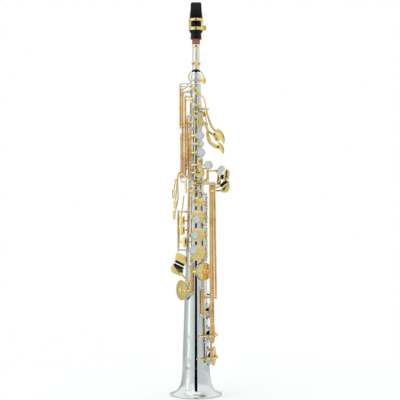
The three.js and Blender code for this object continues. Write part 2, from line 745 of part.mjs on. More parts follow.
function addSideKeys() {
  const eHinge = [v(-19, -7, 388), v(-19, -7, 524)];
  const lobe = (length, width) => rounded([
    [-length / 2, -width * 0.3],
    [length / 2, -width / 2],
    [length / 2, width / 2],
    [-length / 2, width * 0.3],
  ], width * 0.24);
  const facing = v(-0.75, -0.66, 0);
  const sideE = join(
    hingeTube(eHinge, LONG_TUBE_RADIUS),
    arm([v(-19, -7, 520), overCup('side_e')]),
    cup('side_e'),
    arm([v(-19, -7, 391), v(-33.5, -7, 382), v(-38.6, -6.4, 366), v(-38.6, -6.4, 356)]),
    plate(lobe(17, 9), v(-38.8, -7.6, 355), UP, facing),
  );
  addClosedKey('side_e_key', eHinge, 'side_e', sideE, { lift: 2 });
  const cHinge = [v(-26.5, 7, 388), v(-26.5, 7, 458)];
  const sideC = join(
    hingeTube(cHinge, LONG_TUBE_RADIUS),
    arm([v(-26.5, 7, 452), v(-19.6, 16.4, 452), overCup('side_c')]),
    cup('side_c'),
    arm([v(-26.5, 7, 395), v(-31.6, 4.4, 390), v(-33.4, 3, 378), v(-34.6, -1, 358), v(-36.4, -4.6, 340)]),
    plate(lobe(15, 8), v(-36.6, -5.6, 336.5), UP, facing),
  );
  addClosedKey('side_c_key', cHinge, 'side_c', sideC);
  const bFlatHinge = [v(-19.5, 9.5, 388), v(-19.5, 9.5, 424)];
  const sideBFlat = join(
    hingeTube(bFlatHinge, LONG_TUBE_RADIUS),
    arm([v(-19.5, 9.5, 416), v(-15, 16.6, 416), overCup('side_b_flat')]),
    cup('side_b_flat'),
    arm([v(-19.5, 9.5, 395), v(-25.4, 13, 392), v(-32, 9.6, 384), v(-32, 4, 348), v(-36.8, -1.6, 322)]),
    plate(lobe(17, 7), v(-38, -2.6, 318), UP, facing),
  );
  addClosedKey('side_b_flat_key', bFlatHinge, 'side_b_flat', sideBFlat, { lift: 1.6 });
  return [eHinge, cHinge, bFlatHinge];
}

function addHighFSharp() {
  const hinge = [v(-24, 1, 388), v(-24, 1, 533)];
  const link = plate(oval(15, 2), v(-17.6, -13.4, 370), UP, v(-0.5, -0.87, 0));
  const key = join(
    hingeTube(hinge, LONG_TUBE_RADIUS),
    arm([v(-24, 1, 531), v(-16.4, -9.4, 536), overCup('high_f_sharp')], 2.8),
    cup('high_f_sharp'),
    arm([v(-24, 1, 392), v(-27.4, -1.6, 388), v(-26, -4, 378), v(-18.4, -12.6, 375)], 2.8),
    link,
  );
  addClosedKey('high_f_sharp_key', hinge, 'high_f_sharp', key, { lift: 2 });
  const touchHinge = [v(-31.2, -9, 259), v(-31.2, -9, 321)];
  const touch = join(
    hingeTube(touchHinge, LONG_TUBE_RADIUS),
    arm([v(-31.2, -9, 271), v(-27, -17, 271), v(-21, -22, 271)], 2.8),
    plate(oval(10, 4.8), v(-20.3, -22.6, 271), UP, v(-0.35, -0.94, 0)),
    arm([v(-31.2, -9, 311), v(-26.4, -14.2, 316), v(-21.4, -15.4, 351)], 2.8),
  );
  addKey('high_f_sharp_touch', touchHinge, touch, { pressed: 7 });
  const trillHinge = [v(-14.6, -17.4, 284), v(-12.6, -15.6, 362)];
  const trillTouch = (z) => plate(oval(9, 4.2), v(-24, -22.4, z), UP, v(-0.45, -0.89, 0));
  const trill = join(
    hingeTube(trillHinge, 1.8),
    arm([v(-12.7, -15.7, 360), overCup('f_sharp_trill')], 2.8),
    cup('f_sharp_trill'),
    arm([v(-14.3, -17.2, 292), v(-23.6, -21.8, 292)], 2.8),
    arm([v(-14, -17, 308), v(-23.6, -21.8, 308)], 2.8),
    trillTouch(308.6),
    trillTouch(291.2),
  );
  addClosedKey('f_sharp_trill_key', trillHinge, 'f_sharp_trill', trill, { lift: 1.8 });
  return { key: hinge, touch: touchHinge, trill: trillHinge };
}

// ---------------------------------------------------------------- right hand stack

const rightStackLow = v(17.8, -19.8, 241);
const rightStackHigh = v(17.8, -14.3, 330);

function addRightStack() {
  const stack = (from, to) => hingeBetween(rightStackLow, rightStackHigh, from, to);
  const hinges = {
    f_sharp: stack(332, 352),
    f: stack(303, 331.4),
    e: stack(268, 296.6),
    d: stack(242, 267.4),
  };
  const pearls = { f: v(0, 0, 311), e: v(-3.3, 0, 283), d: v(-5.9, 0, 257) };
  for (const hole of ['f', 'e', 'd']) {
    const over = overCup(hole);
    const place = v(pearls[hole].x, over.y + 0.6, pearls[hole].z);
    const { seat, pearl } = pearlSeat(place, v(0, -1, 0), 6.4);
    const shape = join(hingeTube(hinges[hole]), stackArm(hinges[hole], hole), cup(hole), seat);
    addOpenKey(`${hole}_key`, hinges[hole], hole, shape, {
      carried: [[`pearl_${hole}`, pearl, PEARL]],
    });
  }
  const screws = [349, 357].map((z) => disc(v(5, -20.4, z), v(0, -1, 0), 2.6, 2.6, 10));
  const bridge = arm([overCup('f_sharp'), v(5, -21, 349), v(5, -20.4, 360)], 4);
  const fSharp = join(
    hingeTube(hinges.f_sharp),
    stackArm(hinges.f_sharp, 'f_sharp'),
    cup('f_sharp'),
    bridge,
    screws,
  );
  addOpenKey('f_sharp_key', hinges.f_sharp, 'f_sharp', fSharp);
  const middle = stack(299.8, 299.9)[0];
  addRib('rib_right_hand', 47, [postsOf(hinges.d)[0], middle, postsOf(hinges.f_sharp)[1]]);
}

// ---------------------------------------------------------------- little finger keys

function addLowRightKeys() {
  const bFlatHinge = [v(26.5, -26, 63), v(24.7, -23.6, 371)];
  const bHinge = [v(30.6, -22, 99.5), v(28.4, -18, 371)];
  const sharpHinge = [v(35, -18.4, 176), v(32.3, -14.4, 371)];
  const low = (hinge, z) => hingeBetween(hinge[0], hinge[1], z, z + 1)[0];
  const tube = (hinge) => hingeTube(hinge, LONG_TUBE_RADIUS);
  const tableFacing = v(0.2, -0.98, 0);
  const tableAlong = v(0.98, 0.2, 0);
  const bFlatTouch = rounded([[-8, -5.4], [4, -7.6], [9, -4], [9, 4.6], [7.4, 7.6], [-7, -2]], 2.4);
  const bTouch = rounded([[-4.6, -7.6], [4, -6], [5.4, 7], [-1, 9], [-4.6, 4]], 2.4);
  const sharpTouch = rounded([[-6, -6], [2.6, -6], [2.6, 9], [-4, 9]], 2.4);
  const bFlat = join(
    tube(bFlatHinge),
    arm([low(bFlatHinge, 66), v(33, -18, 67), overCup('low_b_flat')]),
    cup('low_b_flat'),
    arm([low(bFlatHinge, 66), v(14, -30.6, 66), v(2, -29.2, 66)], 3),
    arm([low(bFlatHinge, 360), v(30, -27, 360), v(46, -26, 361)], 3.4),
    plate(bFlatTouch, v(50, -25.6, 363.6), tableAlong, tableFacing),
  );
  const rollerLow = v(43.4, -27.6, 368.4);
  const rollerHigh = v(54.4, -25.4, 377);
  const roller = rod(rollerLow, rollerHigh, 2.4, 8);
  const rollerFork = arm([v(57.4, -25, 376), v(57.4, -25, 366)], 2.6);
  addOpenKey('low_b_flat_key', bFlatHinge, 'low_b_flat', join(bFlat, rollerFork), {
    lift: LOW_PAD_LIFT,
    carried: [['roller_b_flat', roller, BLACK]],
  });
  const b = join(
    tube(bHinge),
    arm([low(bHinge, 107), v(35, -14, 107), overCup('low_b')]),
    cup('low_b'),
    arm([low(bHinge, 106), v(29.4, -30.6, 106), v(18, -31.6, 106), v(6, -28, 106)], 3),
    arm([low(bHinge, 364), v(33.4, -20.6, 365.4), v(41, -20, 368), v(52, -17.6, 381)], 3.4),
    plate(bTouch, v(54.4, -18.4, 389.4), tableAlong, tableFacing),
  );
  addOpenKey('low_b_key', bHinge, 'low_b', b, { lift: LOW_PAD_LIFT });
  const lever = join(
    tube(sharpHinge),
    arm([low(sharpHinge, 178), v(34.4, -27, 178), v(24, -31, 179), v(19, -30, 180)], 3),
    arm([low(sharpHinge, 369), v(37.4, -16.6, 373), v(41, -18, 380)], 3.4),
    plate(sharpTouch, v(41, -19, 382), tableAlong, tableFacing),
  );
  const sharpRoller = rod(v(46.2, -20.2, 381), v(46.2, -20.2, 388.6), 2, 8);
  addKey('low_c_sharp_lever', sharpHinge, lever, {
    pressed: 11,
    carried: [['roller_c_sharp', sharpRoller, BLACK]],
  });
  const cupHinge = [v(11.6, -23.4, 144), v(11.6, -23, 187)];
  const cSharp = join(
    hingeTube(cupHinge, 2.4),
    arm([v(11.6, -23.4, 148), v(22, -20, 148), v(28.8, -13, 148), overCup('low_c_sharp')]),
    cup('low_c_sharp'),
    arm([v(11.6, -23, 180), v(21, -26.4, 180)], 3),
  );
  addClosedKey('low_c_sharp_key', cupHinge, 'low_c_sharp', cSharp, { lift: 3 });
  const longHinges = [bFlatHinge, bHinge, sharpHinge];
  addRib('rib_low_right', 45, [...postsOf(cupHinge), ...longHinges.map((hinge) => postsOf(hinge)[0])]);
  return longHinges.map((hinge) => postsOf(hinge)[1]);
}

function addGSharp() {
  const hinge = [v(20.5, -18, 380.4), v(20.5, -18, 397)];
  const key = join(
    hingeTube(hinge),
    arm([v(20.5, -18, 382), v(10, -20.6, 377), overCup('g_sharp')]),
    arm([overCup('g_sharp'), v(-6.4, -20, 372)], 3),
    cup('g_sharp'),
    arm([v(20.5, -18, 395.4), v(30, -21.6, 395.4), v(40, -22.4, 395.4)], 3.4),
    plate(oval(8.8, 5.4), v(42.9, -23.4, 396.5), v(0.67, 0, 0.74), v(0.2, -0.98, 0), 2.4),
  );
  addClosedKey('g_sharp_key', hinge, 'g_sharp', key, { lift: 2 });
  return hinge;
}

function addLowLeftKeys() {
  const line = [v(-8.6, -27.6, 182), v(-8.2, -26, 230)];
  const cHinge = hingeBetween(line[0], line[1], 183, 205.4);
  const eFlatHinge = hingeBetween(line[0], line[1], 206, 229);
  const facing = v(-0.25, -0.97, 0);
  const eFlatTouch = rounded([
    [-11.4, -3.4], [5.4, -11.4], [9.6, -9.6], [11, 0], [-6, 9.4], [-9.6, 8.6],
  ], 2.5);
  const eFlat = join(
    hingeTube(eFlatHinge, 2.6),
    arm([v(-8.4, -26.4, 219.5), v(1.4, -32.6, 219.5), overCup('e_flat'), v(23.6, -15, 219.5)]),
    cup('e_flat'),
    arm([v(-8.3, -26.2, 226.4), v(-14, -28, 229.6), v(-19, -28, 238)], 3.6),
    plate(eFlatTouch, v(-25, -28, 244), v(0.97, -0.25, 0), facing),
  );
  const eFlatRoller = rod(v(-35.4, -26.4, 237.6), v(-21, -30, 230.6), 1.8, 8);
  addClosedKey('e_flat_key', eFlatHinge, 'e_flat', eFlat, {
    carried: [['roller_e_flat', eFlatRoller, BLACK]],
  });
  const cTouch = rounded([
    [-12.4, 2], [-3, -7.4], [5, -9.6], [11.2, -2], [8.6, 1.2], [-7.4, 8.8], [-11, 7],
  ], 2.5);
  const c = join(
    hingeTube(cHinge, 2.6),
    arm([v(-8.6, -27.5, 185.7), v(-19.6, -28, 185.7), overCup('low_c')]),
    cup('low_c'),
    arm([v(-8.5, -27, 200), v(-16, -29.4, 205), v(-24, -28.6, 213), v(-27, -28.4, 217)], 3.6),
    plate(cTouch, v(-32.6, -26.4, 221), v(0.97, -0.25, 0), facing),
  );
  const cRoller = rod(v(-38.6, -25.6, 232.2), v(-23, -29.6, 224.6), 1.8, 8);
  addOpenKey('low_c_key', cHinge, 'low_c', c, {
    lift: LOW_PAD_LIFT,
    carried: [['roller_low_c', cRoller, BLACK]],
  });
  addRib('rib_low_left', -24, [postsOf(cHinge)[0], postsOf(eFlatHinge)[1]]);
}

// ---------------------------------------------------------------- assembly

addBodyTube();
addBell();
addReceiver();
addNeck();
addNeckOctaveKey();
addMouthpiece();
addBackFittings();
const leftPosts = addLeftStack();
const frontF = addFrontF();
addPalmKeys();
const octave = addOctaveWork();
const sideHinges = addSideKeys();
const highF = addHighFSharp();
addRightStack();
const tablePosts = addLowRightKeys();
const gSharp = addGSharp();
addLowLeftKeys();
addRib('rib_left_hand', -33, [...leftPosts, ...postsOf(frontF), ...postsOf(octave.vent)]);
addRib('rib_left_side', -92, [
  ...postsOf(octave.lever),
  ...sideHinges.flatMap(postsOf),
  ...postsOf(highF.key),
]);
addRib('rib_table', 55, [...tablePosts, ...postsOf(gSharp)]);
addRib('rib_trill', -62, [...postsOf(highF.touch), ...postsOf(highF.trill)]);

const box = new THREE.Box3().setFromObject(saxophone, true);
const middle = box.getCenter(new THREE.Vector3());
saxophone.position.set(-middle.x, -middle.y, -box.min.z);

export default saxophone;
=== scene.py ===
"""A straight soprano saxophone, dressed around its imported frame.

Lengths in the classes are millimetres about the tube's own axis, with +Z up the tube and the
keys facing -Y. They become metres in the row frame when a piece is made.
"""

from __future__ import annotations

import json
import logging
import math
from collections.abc import Callable, Iterable, Sequence
from dataclasses import dataclass, field
from enum import Enum

import bpy
import numpy as np
from mathutils import Matrix, Vector


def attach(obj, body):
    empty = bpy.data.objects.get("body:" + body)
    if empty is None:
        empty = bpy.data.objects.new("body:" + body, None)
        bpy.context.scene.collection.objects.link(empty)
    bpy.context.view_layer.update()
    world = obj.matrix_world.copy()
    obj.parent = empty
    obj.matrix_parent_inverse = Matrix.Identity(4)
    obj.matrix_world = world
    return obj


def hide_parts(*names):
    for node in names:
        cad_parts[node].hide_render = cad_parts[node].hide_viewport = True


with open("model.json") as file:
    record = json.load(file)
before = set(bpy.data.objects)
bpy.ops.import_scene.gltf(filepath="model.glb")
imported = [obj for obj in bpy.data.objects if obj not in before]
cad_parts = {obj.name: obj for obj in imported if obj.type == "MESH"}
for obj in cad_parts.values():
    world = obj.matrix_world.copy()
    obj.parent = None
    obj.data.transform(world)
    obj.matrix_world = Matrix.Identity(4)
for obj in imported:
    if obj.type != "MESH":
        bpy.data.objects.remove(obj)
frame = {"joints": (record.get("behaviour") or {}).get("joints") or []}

LOG = logging.getLogger("saxophone")
MM = 0.001
FULL_TURN = 2 * math.pi
SHARP_EDGE = math.radians(36)
JOINTS = {joint["name"]: joint for joint in frame["joints"]}
AXIS_X = JOINTS["neck_turn"]["pos_m"][0] / MM
UP = Vector((0, 0, 1))
FRONT = Vector((0, -1, 0))
RIGHT = Vector((1, 0, 0))
ORIGIN = Vector((0, 0, 0))
POST_GAP = 2.6  # from a hinge tube's end to the middle of its post's ball
TABLE_TOP = 371  # height where the table's rods end
Profile = Sequence[tuple[float, float]]


def vec(x: float, y: float, z: float) -> Vector:
    """Point or direction in millimetres."""
    return Vector((x, y, z))


class Rest(Enum):
    """Where a key's pad stands when nobody touches it."""

    CLOSED = "closed"
    OPEN = "open"


# ------------------------------------------------------------------ the tube and its holes


@dataclass(frozen=True)
class Bore:
    """The conical tube that every key and post stands about."""

    taper: float = 0.0316
    top_z: float = 548.0
    top_radius: float = 8.43
    wall: float = 1.5
    joint_z: float = 127.0

    def radius(self, z: float) -> float:
        """Outer radius at a height."""
        return self.top_radius + (self.top_z - z) * self.taper

    def point(self, azimuth: float, distance: float, z: float) -> Vector:
        """Point at an azimuth in degrees from the front towards +X."""
        angle = math.radians(azimuth)
        return vec(distance * math.sin(angle), -distance * math.cos(angle), z)

    def outward(self, point: Vector) -> Vector:
        """Level direction away from the axis."""
        return vec(point.x, point.y, 0).normalized()

    def azimuth(self, point: Vector) -> float:
        """Azimuth of a point, in degrees."""
        return math.degrees(math.atan2(point.x, -point.y))


BORE = Bore()


@dataclass(frozen=True)
class Hole:
    """A tone hole: where it is, and the radius of the cup that covers it."""

    azimuth: float
    z: float
    cup: float
    rim: float = 3.0
    share: float = 0.86

    @property
    def normal(self) -> Vector:
        """Direction that the hole faces."""
        return BORE.point(self.azimuth, 1, 0)

    @property
    def top(self) -> Vector:
        """Centre of the hole's rim."""
        return BORE.point(self.azimuth, BORE.radius(self.z) + self.rim, self.z)

    def over(self, extra: float = 0.0) -> Vector:
        """Point on an arm's centre line above the middle of the cup."""
        return self.top + self.normal * (4.4 + extra)


HOLES = {
    "high_f_sharp": Hole(-18.5, 541, 4.4),
    "palm_f": Hole(16, 532, 4.6),
    "side_e": Hole(-32, 520, 4.8),
    "palm_e_flat": Hole(19.5, 511, 4.9),
    "palm_d": Hole(100, 497, 5.4),
    "octave": Hole(-5, 481, 3.6),
    "b": Hole(24, 457, 7.2),
    "bis": Hole(28, 442.6, 5.4),
    "a": Hole(26.5, 427, 7.6),
    "g": Hole(21.5, 392, 9),
    "side_c": Hole(-150, 452, 6.4),
    "side_b_flat": Hole(-150, 416, 6.8),
    "g_sharp": Hole(3, 374, 6.8),
    "f_sharp_trill": Hole(-14, 360, 5.2),
    "f_sharp": Hole(9, 341.6, 9.4),
    "f": Hole(7, 315, 12.3),
    "e": Hole(7.5, 283.6, 12.6),
    "d": Hole(6.4, 252, 14.2),
    "e_flat": Hole(37, 219, 16),
    "low_c": Hole(-67, 185.7, 18),
    "low_c_sharp": Hole(90, 148, 15.4),
    "low_b": Hole(90, 107, 16.5),
    "low_b_flat": Hole(88, 68.5, 17.6),
}


@dataclass(frozen=True)
class Hinge:
    """A joint's line and travel."""

    origin: Vector
    axis: Vector
    travel: float

    @classmethod
    def of(cls, joint: str) -> Hinge:
        """Hinge of a joint in the frame.

        Args:
            joint: The joint's name.

        Returns:
            Its line, and its limit furthest from rest, in degrees.
        """
        row = JOINTS[joint]
        origin = Vector(row["pos_m"]) / MM - vec(AXIS_X, 0, 0)
        travel = max(row.get("range_deg") or [0.0], key=abs)
        return cls(origin, Vector(row["axis"]).normalized(), travel)

    def at(self, z: float) -> Vector:
        """Point of an upright line at a height."""
        return self.origin + self.axis * ((z - self.origin.z) / self.axis.z)

    def along(self, distance: float) -> Vector:
        """Point of the line at a distance from its start."""
        return self.origin + self.axis * distance

    def turn(self, degrees: float) -> Matrix:
        """Turn about the line."""
        there = Matrix.Translation(self.origin)
        return there @ Matrix.Rotation(math.radians(degrees), 4, self.axis) @ there.inverted()


# ------------------------------------------------------------------ outlines and lines


def angles(count: int) -> list[float]:
    """Angles spread evenly over a full turn, in radians."""
    return [FULL_TURN * k / count for k in range(count)]


def soften(profile: Profile, reach: float, steps: int = 3) -> list[tuple[float, float]]:
    """Rounds the corners of a flat line.

    Args:
        profile: Its points. It is a loop when the last one is the first.
        reach: How far from a corner its rounding starts.
        steps: Straight pieces in each rounding.

    Returns:
        The rounded line.
    """
    loop = profile[0] == profile[-1]
    points = [Vector(p) for p in (profile[:-1] if loop else profile)]
    soft: list[tuple[float, float]] = []
    for i, here in enumerate(points):
        if not loop and i in (0, len(points) - 1):
            soft.append(tuple(here))
            continue
        back = points[i - 1] - here
        ahead = points[(i + 1) % len(points)] - here
        start = here + back.normalized() * min(reach, back.length * 0.45)
        end = here + ahead.normalized() * min(reach, ahead.length * 0.45)
        for k in range(steps + 1):
            s = k / steps
            soft.append(tuple(start * (1 - s) ** 2 + here * (2 * s * (1 - s)) + end * s**2))
    return [*soft, soft[0]] if loop else soft


def oval(length: float, width: float, power: float = 2.0, count: int = 40) -> list[Vector]:
    """Outline of a rounded touch.

    Args:
        length: Half its length.
        width: Half its width.
        power: 2 is an ellipse, and more is squarer.
        count: Points in it.

    Returns:
        The outline.
    """
    outline = []
    for angle in angles(count):
        c, s = math.cos(angle), math.sin(angle)
        x = math.copysign(abs(c) ** (2 / power), c) * length
        y = math.copysign(abs(s) ** (2 / power), s) * width
        outline.append(Vector((x, y)))
    return outline


def cut_round(corners: Profile, reach: float) -> list[Vector]:
    """Outline of a many-sided touch with its corners cut round."""
    return [Vector(p) for p in soften([*corners, corners[0]], reach, 6)[:-1]]


def smooth_line(points: Sequence[Vector], spacing: float = 1.1) -> list[Vector]:
    """Smooth line through points.

    Args:
        points: What it passes through.
        spacing: About how far apart the line's own points are.

    Returns:
        The line's points.
    """
    gaps = [(b - a).length for a, b in zip(points, points[1:])]
    speeds = []
    for i in range(len(points)):
        first, last = max(i - 1, 0), min(i + 1, len(points) - 1)
        speeds.append((points[last] - points[first]) / sum(gaps[first:last]))
    line = [points[0]]
    for i, gap in enumerate(gaps):
        count = max(2, round(gap / spacing))
        for k in range(1, count + 1):
            s = k / count
            line.append(
                points[i] * (2 * s**3 - 3 * s**2 + 1)
                + speeds[i] * (gap * (s**3 - 2 * s**2 + s))
                + points[i + 1] * (3 * s**2 - 2 * s**3)
                + speeds[i + 1] * (gap * (s**3 - s**2))
            )
    return line


def basis(along: Vector, normal: Vector) -> tuple[Vector, Vector, Vector]:
    """Square axes whose first runs along a direction and whose third leans to another."""
    x = along.normalized()
    y = normal.cross(x).normalized()
    return x, y, x.cross(y)


# ------------------------------------------------------------------ closed shells


class Shell:
    """Closed shells gathered for one piece."""

    def __init__(self) -> None:
        """Starts empty."""
        self.points: list[Vector] = []
        self.faces: list[tuple[int, ...]] = []

    def skin(
        self,
        rings: Sequence[Sequence[Vector]],
        low: Vector | None = None,
        high: Vector | None = None,
    ) -> Shell:
        """Joins rings of points into one closed shell that faces outwards.

        Args:
            rings: The rings, each with as many points as the next.
            low: Pole before the first ring. Without poles the last ring meets the first.
            high: Pole past the last ring.

        Returns:
            This gathering.
        """
        count = len(rings[0])
        faces: list[tuple[int, ...]] = []
        for i in range(len(rings) - (low is not None)):
            a, b = i * count, (i + 1) % len(rings) * count
            for k in range(count):
                n = (k + 1) % count
                faces.append((a + k, a + n, b + n, b + k))
        points = [point for ring in rings for point in ring]
        if low is not None:
            top, pole = (len(rings) - 1) * count, len(points)
            faces += [((k + 1) % count, k, pole) for k in range(count)]
            faces += [(top + k, top + (k + 1) % count, pole + 1) for k in range(count)]
            points += [low, high]
        place = np.array([tuple(p) for p in points])
        place = place - place[0]
        fans = np.array([(f[0], f[j], f[j + 1]) for f in faces for j in range(1, len(f) - 1)])
        corners = place[fans]
        swept = np.cross(corners[:, 0], corners[:, 1])
        if float(np.einsum("ij,ij->", swept, corners[:, 2])) < 0:
            faces = [tuple(reversed(f)) for f in faces]
        start = len(self.points)
        self.points += points
        self.faces += [tuple(i + start for i in f) for f in faces]
        return self

    def turn(
        self,
        profile: Profile,
        base: Vector = ORIGIN,
        axis: Vector = UP,
        sides: int = 32,
        soft: float = 0.0,
    ) -> Shell:
        """Turns a line of (radius, height) points about an axis.

        Args:
            profile: Points that start and end on the axis, or a loop off it.
            base: Where the heights start.
            axis: Direction of the heights.
            sides: Facets round the axis.
            soft: Reach of the rounding at its corners.

        Returns:
            This gathering.
        """
        line = soften(profile, soft) if soft else list(profile)
        loop = line[0] == line[-1]
        across = axis.orthogonal().normalized()
        other = axis.cross(across)
        spokes = []
        for angle in angles(sides):
            spokes.append(across * math.cos(angle) + other * math.sin(angle))
        level = line[:-1] if loop else line[1:-1]
        rings = [[base + axis * h + spoke * r for spoke in spokes] for r, h in level]
        if loop:
            return self.skin(rings)
        return self.skin(rings, base + axis * line[0][1], base + axis * line[-1][1])

    def sweep(
        self,
        line: Sequence[Vector],
        width: Sequence[float],
        thickness: Sequence[float],
        facing: Vector | None = None,
        power: float = 3.2,
        sides: int = 14,
        closed: bool = False,
    ) -> Shell:
        """Sweeps a rounded section along a line.

        Args:
            line: The centre line's points.
            width: Widths along the line, evenly spread.
            thickness: Thicknesses along the line, evenly spread.
            facing: Direction that the section's thickness points to, away from the axis if None.
            power: 2 is a round section, and more is squarer.
            sides: Points round the section.
            closed: Whether the line meets itself.

        Returns:
            This gathering.
        """
        section = oval(1, 1, power, sides)
        last = len(line) - 1
        share = np.linspace(0, 1, len(line))
        wide = np.interp(share, np.linspace(0, 1, len(width)), width) / 2
        thick = np.interp(share, np.linspace(0, 1, len(thickness)), thickness) / 2

        def ring(i: int, shift: float = 0.0, size: float = 1.0) -> list[Vector]:
            """One section at a point of the line, pushed along it and made smaller."""
            if closed:
                along = line[(i + 1) % len(line)] - line[i - 1]
            else:
                along = line[min(i + 1, last)] - line[max(i - 1, 0)]
            normal = facing or BORE.outward(line[i])
            x, y, z = basis(along, normal)
            centre = line[i] + x * shift
            return [
                centre + y * (q.x * wide[i] * size) + z * (q.y * thick[i] * size) for q in section
            ]

        if closed:
            return self.skin([ring(i) for i in range(len(line))])
        ends = [math.radians(a) for a in (75, 50, 25)]
        rings = []
        for angle in ends:
            rings.append(ring(0, -thick[0] * math.sin(angle), math.cos(angle) ** 0.6))
        rings += [ring(i) for i in range(len(line))]
        for angle in reversed(ends):
            rings.append(ring(last, thick[-1] * math.sin(angle), math.cos(angle) ** 0.6))
        low = line[0] - (line[1] - line[0]).normalized() * float(thick[0])
        high = line[-1] + (line[-1] - line[-2]).normalized() * float(thick[-1])
        return self.skin(rings, low, high)

    def strap(
        self,
        points: Sequence[Vector],
        width: float = 3.2,
        thickness: float = 2.0,
        facing: Vector | None = None,
        neck: float = 0.78,
    ) -> Shell:
        """Key arm through points, whose middle is as broad as the share neck of its ends."""
        widths = [width, width * neck, width * neck, width]
        return self.sweep(smooth_line(points), widths, [thickness] * 2, facing)

    def wire(self, points: Sequence[Vector], radius: float, sides: int = 12) -> Shell:
        """Round wire through points."""
        size = [radius * 2] * 2
        along = points[-1] - points[0]
        facing = along.orthogonal().normalized()
        return self.sweep(smooth_line(points), size, size, facing, 2.0, sides)

    def hoop(self, line: Sequence[Vector], radius: float, facing: Vector) -> Shell:
        """Round wire along a line that meets itself."""
        size = [radius * 2] * 2
        return self.sweep(line, size, size, facing, 2.0, 12, True)

    def tube(
        self, low: Vector, high: Vector, radius: float, collars: Iterable[Vector] = ()
    ) -> Shell:
        """Hinge tube with a chamfer at each end and a collar wherever an arm meets it.

        Args:
            low: One end.
            high: The other end.
            radius: Its radius.
            collars: Middles of the collars.

        Returns:
            This gathering.
        """
        axis = (high - low).normalized()
        length = (high - low).length
        line = [(0, 0), (radius, 0), (radius, length), (0, length)]
        self.turn(line, low, axis, 20, 0.35)
        wide, half = radius + 0.42, min(1.9, length / 3)
        for collar in collars:
            ring = [(0, -half), (wide, -half), (wide, half), (0, half)]
            self.turn(ring, collar, axis, 20, 0.45)
        return self

    def crown(
        self,
        outline: Sequence[Vector],
        centre: Vector,
        along: Vector,
        normal: Vector,
        thickness: float = 1.6,
        dome: float = 0.5,
        edge: float = 0.55,
    ) -> Shell:
        """Finger plate with a rounded edge and a crowned face.

        Args:
            outline: Its flat outline about the centre.
            centre: Middle of its underside.
            along: Direction of the outline's first axis.
            normal: Direction that it faces.
            thickness: Thickness at the edge.
            dome: How much thicker it is in the middle.
            edge: Radius of the rounded edge.

        Returns:
            This gathering.
        """
        x, y, z = basis(along, normal)
        edge = min(edge, thickness * 0.48)

        def ring(inset: float, height: float, size: float = 1.0) -> list[Vector]:
            """The outline pulled in and raised."""
            points = []
            for q in outline:
                q = q * (max(q.length - inset, q.length * 0.5) / q.length * size)
                points.append(centre + x * q.x + y * q.y + z * height)
            return points

        rings = [ring(edge, 0, 0.5)]
        for angle in (0, 30, 60, 90):
            a = math.radians(angle)
            rings.append(ring(edge * (1 - math.sin(a)), edge * (1 - math.cos(a))))
        for angle in (0, 30, 60, 90):
            a = math.radians(angle)
            rings.append(ring(edge * (1 - math.cos(a)), thickness - edge * (1 - math.sin(a))))
        for size in (0.85, 0.68, 0.5, 0.32, 0.16):
            rings.append(ring(edge, thickness + dome * (1 - size**2), size))
        return self.skin(rings, centre, centre + z * (thickness + dome))

    def patch(
        self,
        azimuths: tuple[float, float],
        heights: tuple[float, float],
        inner: Callable[[float], float],
        thickness: float,
        corner: float = 1.5,
    ) -> Shell:
        """Curved plate that lies about the axis, with its corners cut round.

        Args:
            azimuths: Its two sides, in degrees.
            heights: Its two ends.
            inner: Radius of its inner face at a height.
            thickness: Thickness.
            corner: Reach of its corners' rounding.

        Returns:
            This gathering.
        """
        middle_z = sum(heights) / 2
        middle_a = sum(azimuths) / 2
        reach = inner(middle_z)
        half_w = math.radians(azimuths[1] - azimuths[0]) / 2 * reach
        half_h = (heights[1] - heights[0]) / 2
        power = max(4.0, 2 * min(half_w, half_h) / corner)
        outline = oval(half_w, half_h, power, 64)
        edge = thickness * 0.35

        def ring(size: float, inset: float, lift: float) -> list[Vector]:
            """The plate's outline at a distance from its inner face."""
            points = []
            for q in outline:
                w = q.x * size * (1 - inset / half_w)
                z = middle_z + q.y * size * (1 - inset / half_h)
                azimuth = middle_a + math.degrees(w / reach)
                points.append(BORE.point(azimuth, inner(z) + lift, z))
            return points

        steps = (0.25, 0.5, 0.75)
        rings = [ring(size, 0, 0) for size in steps]
        rings += [ring(1, 0, 0), ring(1, 0, thickness - edge), ring(1, edge, thickness)]
        rings += [ring(size, edge, thickness) for size in reversed(steps)]
        low = BORE.point(middle_a, inner(middle_z), middle_z)
        return self.skin(rings, low, BORE.point(middle_a, inner(middle_z) + thickness, middle_z))

    def moved(self, matrix: Matrix) -> Shell:
        """Moves everything gathered so far."""
        self.points = [matrix @ point for point in self.points]
        return self


# ------------------------------------------------------------------ shader sums and finishes


